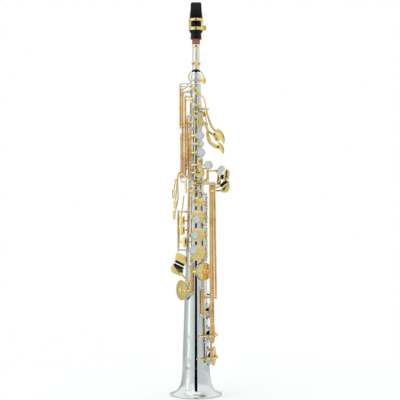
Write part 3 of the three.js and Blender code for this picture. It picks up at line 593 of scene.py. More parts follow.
class Tone:
    """A shader socket that ordinary sums build on."""

    def __init__(self, nodes: Nodes, socket: bpy.types.NodeSocket) -> None:
        """Wraps a socket of a tree's nodes."""
        self.nodes = nodes
        self.socket = socket

    def _sum(self, operation: str, first: Tone | float, second: Tone | float) -> Tone:
        """One Math node."""
        return self.nodes.make("Math", {"operation": operation}, {0: first, 1: second})

    def math(self, operation: str, other: Tone | float = 0.0) -> Tone:
        """Any other Math node on this value."""
        return self._sum(operation, self, other)

    def __add__(self, other: Tone | float) -> Tone:
        """Sum."""
        return self._sum("ADD", self, other)

    __radd__ = __add__

    def __sub__(self, other: Tone | float) -> Tone:
        """Difference."""
        return self._sum("SUBTRACT", self, other)

    def __rsub__(self, other: float) -> Tone:
        """Difference from a number."""
        return self._sum("SUBTRACT", other, self)

    def __mul__(self, other: Tone | float) -> Tone:
        """Product."""
        return self._sum("MULTIPLY", self, other)

    __rmul__ = __mul__

    def __truediv__(self, other: Tone | float) -> Tone:
        """Quotient."""
        return self._sum("DIVIDE", self, other)

    def __pow__(self, other: float) -> Tone:
        """Power."""
        return self._sum("POWER", self, other)

    def sine(self) -> Tone:
        """Sine, of an angle in radians."""
        return self._sum("SINE", self, 0.0)

    def between(self, low: float, high: float, start: float = 0.0, end: float = 1.0) -> Tone:
        """Smooth step from one level to another.

        Args:
            low: Value at which the result is start.
            high: Value at which it is end.
            start: First level.
            end: Last level.

        Returns:
            The stepped value.
        """
        settings = {"interpolation_type": "SMOOTHSTEP"}
        inputs = {"Value": self, "From Min": low, "From Max": high, "To Min": start, "To Max": end}
        return self.nodes.make("MapRange", settings, inputs)


Setting = dict[str, object]
Colour = tuple[float, float, float]


class Nodes:
    """A tree whose nodes are made one by one."""

    tree: bpy.types.NodeTree

    def make(self, kind: str, settings: Setting, inputs: dict, output: int | str = 0) -> Tone:
        """Makes any node.

        Args:
            kind: Its type, in full or without a shader node's prefix.
            settings: Its own settings, which are set first. Stops are a ramp's.
            inputs: Values or links of its sockets, by name or place. A list is several links.
            output: The socket to go on with.

        Returns:
            That output.
        """
        node = self.tree.nodes.new(kind if "Node" in kind else f"ShaderNode{kind}")
        for key, value in settings.items():
            if key == "stops":
                ramp = node.color_ramp
                for place, colour in value[2:]:
                    ramp.elements.new(place).color = (*colour, 1)
                for element, (place, colour) in zip((ramp.elements[0], ramp.elements[-1]), value):
                    element.position, element.color = place, (*colour, 1)
            else:
                setattr(node, key, value)
        for key, value in inputs.items():
            for one in value if isinstance(value, list) else [value]:
                if isinstance(one, Tone):
                    self.tree.links.new(one.socket, node.inputs[key])
                else:
                    node.inputs[key].default_value = one
        return Tone(self, node.outputs[output])

    def split(self, vector: Tone) -> tuple[Tone, Tone, Tone]:
        """Parts of a vector."""
        node = self.make("SeparateXYZ", {}, {0: vector}).socket.node
        return tuple(Tone(self, node.outputs[i]) for i in range(3))

    def join(self, x: Tone | float = 0.0, y: Tone | float = 0.0, z: Tone | float = 0.0) -> Tone:
        """Vector of three parts."""
        return self.make("CombineXYZ", {}, {0: x, 1: y, 2: z})


class Recipe(Nodes):
    """The nodes of one material."""

    def __init__(self, name: str) -> None:
        """Starts a material with nothing but its output."""
        self.material = bpy.data.materials.new(name)
        self.material.use_nodes = True
        self.tree = self.material.node_tree
        self.tree.nodes.clear()
        self.output = self.tree.nodes.new("ShaderNodeOutputMaterial")

    def place(self) -> Tone:
        """Object coordinates, in metres."""
        return self.make("TexCoord", {}, {}, "Object")

    def stretched(self, scale: tuple[float, float, float]) -> Tone:
        """Object coordinates scaled by axis."""
        return self.make("Mapping", {}, {"Vector": self.place(), "Scale": scale})

    def noise(self, scale: float, detail: float = 3.0, where: Tone | None = None) -> Tone:
        """Cloudy value from 0 to 1, its scale in cells per metre."""
        inputs = {"Vector": where or self.place(), "Scale": scale, "Detail": detail}
        return self.make("TexNoise", {}, inputs)

    def blend(self, share: Tone | float, first: Colour | Tone, second: Colour | Tone) -> Tone:
        """Colour between two others.

        Args:
            share: 0 gives the first, and 1 the second.
            first: A colour.
            second: A colour.

        Returns:
            The colour between them.
        """
        pair = [c if isinstance(c, Tone) else (*c, 1) for c in (first, second)]
        node = self.tree.nodes.new("ShaderNodeMix")
        node.data_type = "RGBA"
        for socket, value in zip((0, 6, 7), (share, *pair)):
            if isinstance(value, Tone):
                self.tree.links.new(value.socket, node.inputs[socket])
            else:
                node.inputs[socket].default_value = value
        return Tone(self, node.outputs[2])

    def bump(
        self, height: Tone, depth: float, strength: float = 1.0, under: Tone | None = None
    ) -> Tone:
        """Surface relief.

        Args:
            height: The relief, from 0 to 1.
            depth: How deep it is, in metres.
            strength: How much of it shows.
            under: Relief that it adds to.

        Returns:
            The bent normal.
        """
        inputs = {"Height": height, "Distance": depth, "Strength": strength}
        if under:
            inputs["Normal"] = under
        return self.make("Bump", {}, inputs)

    def surface(self, **inputs: object) -> bpy.types.Material:
        """Ends the recipe in one shader.

        Args:
            inputs: The shader's sockets, with underscores for spaces.

        Returns:
            The material.
        """
        named = {key.replace("_", " "): value for key, value in inputs.items()}
        shader = self.make("BsdfPrincipled", {}, named)
        self.tree.links.new(shader.socket, self.output.inputs[0])
        return self.material


@dataclass(frozen=True)
class Finish:
    """A finish that pieces are dressed in."""

    name: str
    slot: str | None = None

    def material(self) -> bpy.types.Material:
        """The finish's material, made once."""
        found = bpy.data.materials.get(self.name)
        return found or self.cook(Recipe(self.name))

    def cook(self, recipe: Recipe) -> bpy.types.Material:
        """Makes the material."""
        raise NotImplementedError


@dataclass(frozen=True)
class Plate(Finish):
    """Polished plated or lacquered metal, with cloudy tone, hairlines and soft ripples."""

    bright: Colour = (0.9, 0.9, 0.9)
    deep: Colour = (0.8, 0.8, 0.8)
    roughness: float = 0.1
    spread: float = 0.06
    ripple: float = 0.00002
    lacquer: float = 0.0
    engraved: bool = False

    def cook(self, recipe: Recipe) -> bpy.types.Material:
        """Makes the material."""
        cloud = recipe.noise(38, 4)
        handled = recipe.noise(160, 5)
        hairline = recipe.noise(900, 2, recipe.stretched((1, 1, 0.12)))
        colour = recipe.blend(cloud.between(0.35, 0.7), self.bright, self.deep)
        rough = self.roughness + self.spread * (handled.between(0.4, 0.75) + hairline * 0.4)
        relief = recipe.bump(recipe.noise(55, 2), self.ripple)
        relief = recipe.bump(hairline, self.ripple * 0.1, 1.0, relief)
        if self.engraved:
            mark, depth = self.engraving(recipe)
            colour = recipe.blend(mark * 0.34, colour, (0.34, 0.34, 0.36))
            rough = rough + 0.16 * mark
            relief = recipe.bump(1 - mark, depth, 1.0, relief)
        return recipe.surface(
            Base_Color=colour,
            Metallic=1.0,
            Roughness=rough,
            Normal=relief,
            Coat_Weight=self.lacquer,
            Coat_Roughness=0.05,
        )

    def engraving(self, recipe: Recipe) -> tuple[Tone, float]:
        """Cut lines of rosettes and scrolling stems on the bell's left side.

        Args:
            recipe: The material in the making.

        Returns:
            Where metal is cut away, from 0 to 1, and how deep.
        """
        x, y, z = recipe.split(recipe.place())
        settings = {"operation": "ARCTAN2"}
        azimuth = recipe.make("Math", settings, {0: x - AXIS_X * MM, 1: 0 - y})
        across = azimuth * 24.6 + 17.5
        height = z * 1000
        stem = ((across - 4.2 * (height * 0.105).sine()) ** 2.0) ** 0.5
        mark = 1 - stem.between(0.1, 0.5)
        vein = ((across + 4.2 * (height * 0.105 + 0.4).sine()) ** 2.0) ** 0.5
        mark = mark + 0.8 * (1 - vein.between(0.08, 0.4))
        for side, level, size in ((-2.5, 40, 6.5), (3.2, 62, 5.4), (-3, 84, 4.6), (2.6, 104, 3.6)):
            dx = across - side
            dz = height - level
            reach = (dx * dx + dz * dz) ** 0.5
            angle = recipe.make("Math", settings, {0: dx, 1: dz})
            petal = size * (0.72 + 0.28 * (angle * 6).sine())
            line = ((reach - petal) ** 2.0) ** 0.5
            heart = ((reach - size * 0.3) ** 2.0) ** 0.5
            inside = 1 - reach.between(size * 0.95, size * 1.05)
            hatch = ((reach * 3.4 + angle * 2).sine()).between(0.55, 0.9) * 0.5 * inside
            mark = mark + (1 - line.between(0.1, 0.42)) + (1 - heart.between(0.1, 0.35)) + hatch
        field_a = across.between(-11, -8.5) * (1 - across.between(8.5, 11))
        field_z = height.between(24, 30) * (1 - height.between(112, 120))
        mark = mark.between(0.0, 1.0) * field_a * field_z
        return mark, 0.00009


@dataclass(frozen=True)
class Shellwork(Finish):
    """Mother-of-pearl: milky bands that turn from blue to green and pink, under a polish."""

    def cook(self, recipe: Recipe) -> bpy.types.Material:
        """Makes the material."""
        drift = recipe.noise(110, 3)
        settings = {"wave_type": "BANDS", "bands_direction": "DIAGONAL"}
        inputs = {"Vector": recipe.place(), "Scale": 70.0, "Distortion": 9.0, "Detail": 3.0}
        band = recipe.make("TexWave", settings, inputs)
        stops = [
            (0.0, (0.6, 0.72, 0.74)),
            (1.0, (0.9, 0.95, 0.93)),
            (0.35, (0.68, 0.78, 0.82)),
            (0.6, (0.78, 0.77, 0.83)),
            (0.8, (0.66, 0.79, 0.77)),
        ]
        colour = recipe.make("ValToRGB", {"stops": stops}, {0: band * 0.7 + 0.3 * drift})
        return recipe.surface(
            Base_Color=colour,
            Roughness=0.16 + 0.1 * drift,
            Normal=recipe.bump(band, 0.00003, 0.5),
            Coat_Weight=0.8,
            Coat_Roughness=0.04,
            Metallic=0.0,
        )


@dataclass(frozen=True)
class Dull(Finish):
    """Leather, cork, felt or cane: a fibrous or pitted surface in two colours."""

    light: Colour = (0.5, 0.4, 0.3)
    dark: Colour = (0.3, 0.2, 0.1)
    grain: float = 600.0
    stretch: tuple[float, float, float] = (1.0, 1.0, 1.0)
    roughness: float = 0.7
    relief: float = 0.0001
    pits: float = 0.0

    def cook(self, recipe: Recipe) -> bpy.types.Material:
        """Makes the material."""
        where = recipe.stretched(self.stretch)
        fibre = recipe.noise(self.grain, 6, where)
        patch = recipe.noise(self.grain * 0.16, 3, where)
        colour = recipe.blend(fibre.between(0.3, 0.72), self.dark, self.light)
        colour = recipe.blend(patch.between(0.45, 0.8) * 0.4, colour, self.dark)
        normal = recipe.bump(fibre, self.relief, 0.7)
        if self.pits:
            cell = recipe.make("TexVoronoi", {}, {"Vector": where, "Scale": self.grain * 0.6})
            pit = 1 - cell.between(0.12, 0.3)
            colour = recipe.blend(pit * self.pits, colour, tuple(c * 0.35 for c in self.dark))
            normal = recipe.bump(1 - pit, self.relief * 1.6, 0.8, normal)
        return recipe.surface(
            Base_Color=colour, Roughness=self.roughness - 0.12 * patch, Normal=normal
        )


@dataclass(frozen=True)
class Ebonite(Finish):
    """Black hard rubber, polished, with faint turning lines and handling marks."""

    turning: float = 0.000008
    roughness: float = 0.12

    def cook(self, recipe: Recipe) -> bpy.types.Material:
        """Makes the material."""
        smear = recipe.noise(90, 5)
        ring = recipe.noise(1400, 2, recipe.stretched((0.05, 0.05, 1)))
        colour = recipe.blend(smear.between(0.4, 0.8), (0.003, 0.003, 0.0035), (0.011, 0.01, 0.01))
        return recipe.surface(
            Base_Color=colour,
            Roughness=self.roughness + 0.16 * smear.between(0.45, 0.8),
            Normal=recipe.bump(ring, self.turning),
            Specular_IOR_Level=0.22,
        )


SILVER = Plate(
    "silver plate", "silver", (0.80, 0.83, 0.82), (0.73, 0.76, 0.75), 0.025, 0.02, 0.000006
)
BELL_SILVER = Plate(
    "engraved silver plate", "silver", (0.80, 0.83, 0.82), (0.73, 0.76, 0.75), 0.025, 0.02,
    0.000006, 0.0, True,
)
NECK_SILVER = Plate(
    "bright silver plate", "silver", (0.95, 0.97, 0.96), (0.9, 0.92, 0.91), 0.025, 0.02, 0.000006
)
NICKEL = Plate(
    "nickel silver rod", "silver", (0.8, 0.79, 0.76), (0.62, 0.6, 0.57), 0.14, 0.08, 0.00001
)
GOLD = Plate(
    "gold lacquer", "gold", (0.99, 0.79, 0.33), (0.94, 0.68, 0.23), 0.14, 0.08, 0.00002, 0.25
)
# Hinge-tube gold: a darker, oranger copy of the gold lacquer. The deeper colour is painted shade
# standing in for the shadowed sides of the rods.
SHADED_ROD_GOLD = Plate(
    "gold lacquered rod", "gold", (0.96, 0.68, 0.28), (0.84, 0.45, 0.14), 0.13, 0.08, 0.00002, 0.25
)
STEEL = Plate(
    "blued steel", None, (0.2, 0.21, 0.27), (0.09, 0.1, 0.15), 0.22, 0.1, 0.00001
)
MOTHER_OF_PEARL = Shellwork("mother of pearl", "pearl")
LEATHER = Dull(
    "pad leather", None, (0.62, 0.36, 0.17), (0.42, 0.21, 0.09), 900, (1, 1, 1), 0.62, 0.00008
)
BUMPER_FELT = Dull(
    "bumper felt", None, (0.46, 0.1, 0.08), (0.26, 0.05, 0.04), 1500, (1, 1, 1), 0.95, 0.00015
)
CORK = Dull(
    "tenon cork", "cork", (0.62, 0.24, 0.13), (0.38, 0.12, 0.06), 700, (1, 1, 0.7), 0.8, 0.0002, 0.7
)
CANE = Dull(
    "reed cane", "cane", (0.8, 0.6, 0.3), (0.62, 0.42, 0.18), 1500, (1, 1, 0.03), 0.6, 0.00006
)
MOUTH_EBONITE = Ebonite("mouthpiece ebonite", "ebonite")
ROLLER_EBONITE = Ebonite("roller ebonite", "roller", 0.00001, 0.14)


# ------------------------------------------------------------------ making pieces


def dressed(
    name: str, mesh: bpy.types.Mesh, finish: Finish, body: str, nodes: Iterable[str] = ()
) -> bpy.types.Object:
    """Makes a piece of a finished mesh and hangs it on a body.

    Args:
        name: The piece's name.
        mesh: Its mesh, in metres in the row frame.
        finish: What it is made of.
        body: The body that it moves with.
        nodes: The frame's nodes that it stands for.

    Returns:
        The piece.
    """
    mesh.name = name
    mesh.materials.clear()
    mesh.materials.append(finish.material())
    mesh.polygons.foreach_set("use_smooth", [True] * len(mesh.polygons))
    mesh.set_sharp_from_angle(angle=SHARP_EDGE)
    piece = bpy.data.objects.new(name, mesh)
    bpy.context.scene.collection.objects.link(piece)
    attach(piece, body)
    if nodes:
        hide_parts(*nodes)
    LOG.info("%s: %d faces on %s", name, len(mesh.polygons), body)
    return piece


def mesh_of(shell: Shell, name: str = "shell") -> bpy.types.Mesh:
    """Mesh of gathered shells, moved into the row frame."""
    mesh = bpy.data.meshes.new(name)
    place = (np.array([tuple(p) for p in shell.points]) + (AXIS_X, 0, 0)) * MM
    mesh.from_pydata(place.tolist(), [], shell.faces)
    mesh.update()
    return mesh


def piece_of(
    name: str, shell: Shell, finish: Finish, body: str, nodes: Iterable[str] = ()
) -> bpy.types.Object | None:
    """Piece of gathered shells, or nothing where none were gathered."""
    if not shell.faces:
        return None
    return dressed(name, mesh_of(shell, name), finish, body, nodes)


# ------------------------------------------------------------------ growing repeated parts


class Grower(Nodes):
    """A Geometry Nodes tree with named sizes, which ends realised and in one material."""

    def __init__(self, name: str, sizes: dict[str, float]) -> None:
        """Starts a tree.

        Args:
            name: The tree's name.
            sizes: Its named inputs and what they are set to, in metres or as counts.
        """
        self.tree = bpy.data.node_groups.new(name, "GeometryNodeTree")
        face = self.tree.interface
        face.new_socket("Geometry", in_out="OUTPUT", socket_type="NodeSocketGeometry")
        face.new_socket("Geometry", in_out="INPUT", socket_type="NodeSocketGeometry")
        self.sizes = sizes
        self.sockets = {}
        for key, value in sizes.items():
            kind = "NodeSocketInt" if isinstance(value, int) else "NodeSocketFloat"
            self.sockets[key] = face.new_socket(key, in_out="INPUT", socket_type=kind).identifier
        self.sockets["Finish"] = face.new_socket(
            "Finish", in_out="INPUT", socket_type="NodeSocketMaterial"
        ).identifier
        starts = self.tree.nodes.new("NodeGroupInput").outputs
        self.start = {socket.name: Tone(self, socket) for socket in starts if socket.name}
        self.end = self.tree.nodes.new("NodeGroupOutput").inputs

    def attribute(self, name: str, kind: str = "FLOAT_VECTOR") -> Tone:
        """Named value that the starting points carry."""
        settings = {"data_type": kind}
        return self.make("GeometryNodeInputNamedAttribute", settings, {"Name": name}, "Attribute")

    def aimed(self, direction: Tone) -> Tone:
        """Rotation whose Z follows a direction."""
        settings = {"axis": "Z"}
        return self.make("FunctionNodeAlignRotationToVector", settings, {"Vector": direction})

    def cone(self, top: object, bottom: object, depth: object) -> Tone:
        """Cone or drum with as many sides as the tree says."""
        inputs = {"Vertices": self.start["Sides"], "Radius Top": top}
        inputs = {**inputs, "Radius Bottom": bottom, "Depth": depth}
        return self.make("GeometryNodeMeshCone", {}, inputs)

    def spread(
        self,
        points: Tone,
        shape: Tone,
        turn: Tone,
        scale: Tone | tuple = (1, 1, 1),
    ) -> Tone:
        """A shape at each of some points."""
        inputs = {"Points": points, "Instance": shape, "Rotation": turn, "Scale": scale}
        return self.make("GeometryNodeInstanceOnPoints", {}, inputs)

    def close(self, geometry: Tone | list) -> None:
        """Ends the tree: joined, realised and in its finish."""
        joined = self.make("GeometryNodeJoinGeometry", {}, {0: geometry})
        real = self.make("GeometryNodeRealizeInstances", {}, {0: joined})
        inputs = {"Geometry": real, "Material": self.start["Finish"]}
        self.tree.links.new(self.make("GeometryNodeSetMaterial", {}, inputs).socket, self.end[0])

    def grow(
        self, points: Sequence[Vector], finish: Finish, **carried: Sequence[Vector | float]
    ) -> bpy.types.Mesh:
        """Runs the tree over points.

        Args:
            points: Where it starts, in millimetres about the tube's axis.
            finish: What the result is made of.
            carried: Values at each point, which the tree reads by name.

        Returns:
            The plain mesh that grew.
        """
        mesh = bpy.data.meshes.new("points")
        place = [tuple((p + vec(AXIS_X, 0, 0)) * MM) for p in points]
        mesh.from_pydata(place, [], [])
        for name, values in carried.items():
            flat = isinstance(values[0], (int, float))
            kind, key = ("FLOAT", "value") if flat else ("FLOAT_VECTOR", "vector")
            row = mesh.attributes.new(name, kind, "POINT")
            row.data.foreach_set(key, np.array(values, np.float32).ravel())
        seed = bpy.data.objects.new("seed", mesh)
        bpy.context.scene.collection.objects.link(seed)
        modifier = seed.modifiers.new("grow", "NODES")
        modifier.node_group = self.tree
        for key, value in self.sizes.items():
            modifier[self.sockets[key]] = value
        modifier[self.sockets["Finish"]] = finish.material()
        grown = bpy.data.meshes.new_from_object(
            seed.evaluated_get(bpy.context.evaluated_depsgraph_get())
        )
        seed.modifiers.clear()
        bpy.data.objects.remove(seed)
        return grown


def post_grower() -> Grower:
    """Ball posts: a ball with a tapered stem on a round foot.

    Points carry lean, the direction from foot to ball, and reach, the distance between them.
    """
    sizes = {"Ball Radius": 2.35 * MM, "Stem Radius": 1.15 * MM, "Foot Radius": 3.0 * MM}
    g = Grower("ball posts", {**sizes, "Foot Height": 1.0 * MM, "Sides": 20})
    points = g.start["Geometry"]
    lean, reach = g.attribute("lean"), g.attribute("reach", "FLOAT")
    turn = g.aimed(lean)
    ball = {"Segments": g.start["Sides"], "Rings": 12, "Radius": g.start["Ball Radius"]}
    balls = g.spread(points, g.make("GeometryNodeMeshUVSphere", {}, ball), turn)
    drop = g.make("VectorMath", {"operation": "SCALE"}, {0: lean, "Scale": reach * -1.0})
    feet = g.make("GeometryNodeSetPosition", {}, {"Geometry": points, "Offset": drop})
    stem = g.cone(g.start["Stem Radius"], g.start["Stem Radius"] * 1.5, 1.0)
    stems = g.spread(feet, stem, turn, g.join(1.0, 1.0, reach))
    foot = g.cone(g.start["Foot Radius"] * 0.7, g.start["Foot Radius"], g.start["Foot Height"])
    g.close([balls, stems, g.spread(feet, foot, turn)])
    return g


def screw_grower(radius: float, height: float, slot: float) -> Grower:
    """Slotted screw heads. Points carry lean, the direction that each head faces.

    Args:
        radius: Radius of a head.
        height: Height of a head.
        slot: Width of its slot.

    Returns:
        The tree.
    """
    sizes = {"Radius": radius * MM, "Height": height * MM, "Slot": slot * MM, "Sides": 24}
    g = Grower("slotted screws", sizes)
    wide, tall = g.start["Radius"], g.start["Height"]
    shank = g.cone(wide, wide, tall)
    lip = g.cone(wide * 0.86, wide, tall * 0.35)
    lip = g.make("GeometryNodeTransform", {}, {"Geometry": lip, "Translation": g.join(z=tall)})
    cut = g.make("GeometryNodeMeshCube", {}, {"Size": g.join(wide * 3.0, g.start["Slot"], tall)})
    up = g.join(z=tall * 1.35)
    cut = g.make("GeometryNodeTransform", {}, {"Geometry": cut, "Translation": up})
    both = g.make("GeometryNodeMeshBoolean", {"operation": "UNION"}, {1: [shank, lip]})
    head = g.make("GeometryNodeMeshBoolean", {"operation": "DIFFERENCE"}, {0: both, 1: cut})
    g.close(g.spread(g.start["Geometry"], head, g.aimed(g.attribute("lean"))))
    return g


def needle_grower() -> Grower:
    """Needle springs: fine tapered wires. Points carry lean and reach."""
    g = Grower("needle springs", {"Thick": 0.36 * MM, "Fine": 0.16 * MM, "Sides": 8})
    wire = g.cone(g.start["Fine"], g.start["Thick"], 1.0)
    scale = g.join(1.0, 1.0, g.attribute("reach", "FLOAT"))
    g.close(g.spread(g.start["Geometry"], wire, g.aimed(g.attribute("lean")), scale))
    return g


def knurl_grower(radius: float, length: float, teeth: int) -> Grower:
    """Ridges round a thumb screw. Points carry lean, the screw's direction.

    Args:
        radius: Radius that the ridges stand on.
        length: Length of a ridge.
        teeth: How many there are.

    Returns:
        The tree.
    """
    sizes = {"Radius": radius * MM, "Length": length * MM, "Ridge": 0.34 * MM, "Teeth": teeth}
    g = Grower("knurled edge", sizes)
    circle = {"Vertices": g.start["Teeth"], "Radius": g.start["Radius"]}
    circle = g.make("GeometryNodeMeshCircle", {}, circle)
    ridge = {"Vertices": 8, "Radius": g.start["Ridge"], "Depth": g.start["Length"]}
    ridge = g.make("GeometryNodeMeshCylinder", {}, ridge)
    still = g.make("FunctionNodeInputRotation", {}, {})
    ring = g.make("GeometryNodeRealizeInstances", {}, {0: g.spread(circle, ridge, still)})
    g.close(g.spread(g.start["Geometry"], ring, g.aimed(g.attribute("lean"))))
    return g


def bore_grower(low: float) -> Grower:
    """The conical tube: a sheet rolled to the cone's rule, inside and out, with square lips.

    Args:
        low: Height of its lower end.

    Returns:
        The tree. It starts from one point on the tube's axis.
    """
    sizes = {
        "Low": low * MM,
        "High": BORE.top_z * MM,
        "Low Radius": BORE.radius(low) * MM,
        "Taper": BORE.taper,
        "Wall": BORE.wall * MM,
        "Axis X": AXIS_X * MM,
        "Around": 161,
        "Along": 241,
    }
    g = Grower("conical tube", sizes)
    grid = {"Vertices X": g.start["Around"], "Vertices Y": g.start["Along"]}
    sheet = g.make("GeometryNodeMeshGrid", {}, grid)
    u, v, _ = g.split(Tone(g, sheet.socket.node.outputs["UV Map"]))
    climb = 1.0 - (v * 2.0 - 1.0).math("ABSOLUTE")
    share = g.make("MapRange", {}, {"Value": climb, "From Min": 0.012, "From Max": 0.988})
    rise = share * (g.start["High"] - g.start["Low"])
    inner = v.math("GREATER_THAN", 0.502) * v.math("LESS_THAN", 0.998)
    radius = g.start["Low Radius"] - rise * g.start["Taper"] - inner * g.start["Wall"]
    angle = u * FULL_TURN
    x = radius * angle.math("COSINE") + g.start["Axis X"]
    place = g.join(x, radius * angle.sine(), rise + g.start["Low"])
    rolled = g.make("GeometryNodeSetPosition", {}, {"Geometry": sheet, "Position": place})
    inputs = {"Geometry": rolled, "Distance": 0.000001}
    g.close(g.make("GeometryNodeMergeByDistance", {}, inputs))
    return g


# ------------------------------------------------------------------ keys


@dataclass
class Key:
    """One key: its metal, pads, pearl and felts, modelled with the pad down."""

    node: str
    joint: str
    rest: Rest = Rest.CLOSED
    hole: str | None = None
    stands_for: tuple[str, ...] = ()
    # By default the hinge tubes wear the rod gold, whose darker colour is painted shade.
    tube_finish: Finish = SHADED_ROD_GOLD
    metal: Shell = field(default_factory=Shell)
    rods: Shell = field(default_factory=Shell)
    pads: Shell = field(default_factory=Shell)
    pearls: Shell = field(default_factory=Shell)
    felts: Shell = field(default_factory=Shell)
    screws: list[tuple[Vector, Vector]] = field(default_factory=list)

    def __post_init__(self) -> None:
        """Finds the hinge."""
        self.hinge = Hinge.of(self.joint)

    def tube(self, low: Vector, high: Vector, radius: float, collars: Iterable[Vector] = ()) -> Key:
        """Adds the hinge tube, and collars where arms meet it."""
        self.rods.tube(low, high, radius, collars)
        return self

    def rod(self, low: float, high: float, radius: float, *collars: float) -> Key:
        """Adds an upright hinge tube between two heights, with collars at others."""
        at = self.hinge.at
        return self.tube(at(low), at(high), radius, [at(z) for z in collars])

    def arm(self, points: Iterable[Vector | tuple], *shape: object) -> Key:
        """Adds an arm through points, its shape as for a shell's strap."""
        self.metal.strap([Vector(p) for p in points], *shape)
        return self

    def cup(self, crown: float = 0.5) -> Key:
        """Adds the cup over the key's hole, and the pad in it.

        Args:
            crown: How far the cup's middle rises over its edge.

        Returns:
            This key.
        """
        hole = HOLES[self.hole]
        r, base, axis = hole.cup, hole.top + hole.normal * 0.3, hole.normal
        profile = [
            (0, 0.9), (r - 0.5, 0.9), (r - 0.1, 1.0), (r, 1.4), (r, 2.3), (r - 0.35, 2.75),
            (r - 1.0, 2.85), (r - 1.45, 2.6), (r - 1.9, 2.62),
        ]
        profile += [
            (r * s, 2.62 + (0.35 + crown) * (1 - s * s)) for s in (0.7, 0.55, 0.4, 0.25, 0.1)
        ]
        profile.append((0, 2.97 + crown))
        sides = 64 if r > 8 else 40
        self.metal.turn(soften(profile[:9], 0.25) + profile[9:], base, axis, sides)
        rim = hole.cup * hole.share
        pad = [(0, 0.04), (rim - 1.6, 0.04), (rim - 1.3, 0.3), (rim + 0.1, 0.3)]
        pad += [(rim + 0.25, 0.02), (r - 0.75, 0.05), (r - 0.4, 0.4), (r - 0.4, 0.95), (0, 0.95)]
        self.pads.turn(soften(pad, 0.2), base, axis, sides)
        disc = [(0, -0.35), (r * 0.42, -0.35), (r * 0.46, 0.1), (0, 0.1)]
        self.metal.turn(soften(disc, 0.15), base, axis, 32)
        return self

    def boss(self, base: Vector, normal: Vector, radius: float, height: float) -> Key:
        """Adds a small domed disc, such as where an arm ends over a cup."""
        profile = [(0, -0.4), (radius, -0.4), (radius, height * 0.55), (radius * 0.55, height)]
        self.metal.turn(soften([*profile, (0, height)], 0.35), base, normal, 32)
        return self

    def cap(self, radius: float, height: float, lift: float = 0.6) -> Key:
        """Adds a domed disc where the arm ends over the key's own cup."""
        hole = HOLES[self.hole]
        return self.boss(hole.over(lift), hole.normal, radius, height)

    def pearl(self, base: Vector, normal: Vector, radius: float) -> Key:
        """Adds a finger pearl in its rim."""
        r = radius
        seat = [(0, -0.6), (r - 1.2, -0.6), (r + 0.9, 0.3), (r + 1.0, 1.9), (r + 0.7, 2.35)]
        seat += [(r + 0.2, 2.2), (r, 1.3), (0, 1.2)]
        self.metal.turn(soften(seat, 0.3), base, normal, 56)
        face = [(0, 1.15), (r + 0.1, 1.15), (r + 0.1, 2.1), (r * 0.92, 2.75)]
        face += [(r * s, 2.75 + 0.55 * (1 - (s / 0.92) ** 2)) for s in (0.75, 0.5, 0.25)]
        self.pearls.turn([*soften(face[:4], 0.3), *face[4:], (0, 3.3)], base, normal, 56)
        return self

    def felt(self, base: Vector, normal: Vector, radius: float = 1.5, height: float = 1.1) -> Key:
        """Adds a bumper under a key's foot."""
        profile = [(0, 0), (radius, 0), (radius, height), (0, height)]
        self.felts.turn(profile, base, normal, 20, 0.25)
        return self

    def to_rest(self) -> Matrix:
        """Turn from the pad-down shape to where the key rests."""
        return self.hinge.turn(-self.hinge.travel if self.rest is Rest.OPEN else 0.0)

    def finish(self) -> None:
        """Turns the key to rest and makes its pieces."""
        matrix = self.to_rest()
        parts = (
            ("metal", self.metal, GOLD, (self.node,)),
            ("tube", self.rods, self.tube_finish, ()),
            ("pad", self.pads, LEATHER, ()),
            ("pearl", self.pearls, MOTHER_OF_PEARL, self.stands_for),
            ("felt", self.felts, BUMPER_FELT, ()),
        )
        for part, shell, finish, nodes in parts:
            piece_of(f"{self.node}_{part}", shell.moved(matrix), finish, self.node, nodes)
        if self.screws:
            points = [matrix @ p for p, _ in self.screws]
            lean = [matrix.to_3x3() @ d for _, d in self.screws]
            heads = screw_grower(1.5, 1.0, 0.45).grow(points, STEEL, lean=lean)
            dressed(f"{self.node}_screws", heads, STEEL, self.node)


def table_of(*points: tuple[float, float, float]) -> list[Vector]:
    """Points from plain numbers."""
    return [vec(*p) for p in points]


# ------------------------------------------------------------------ tube and bell


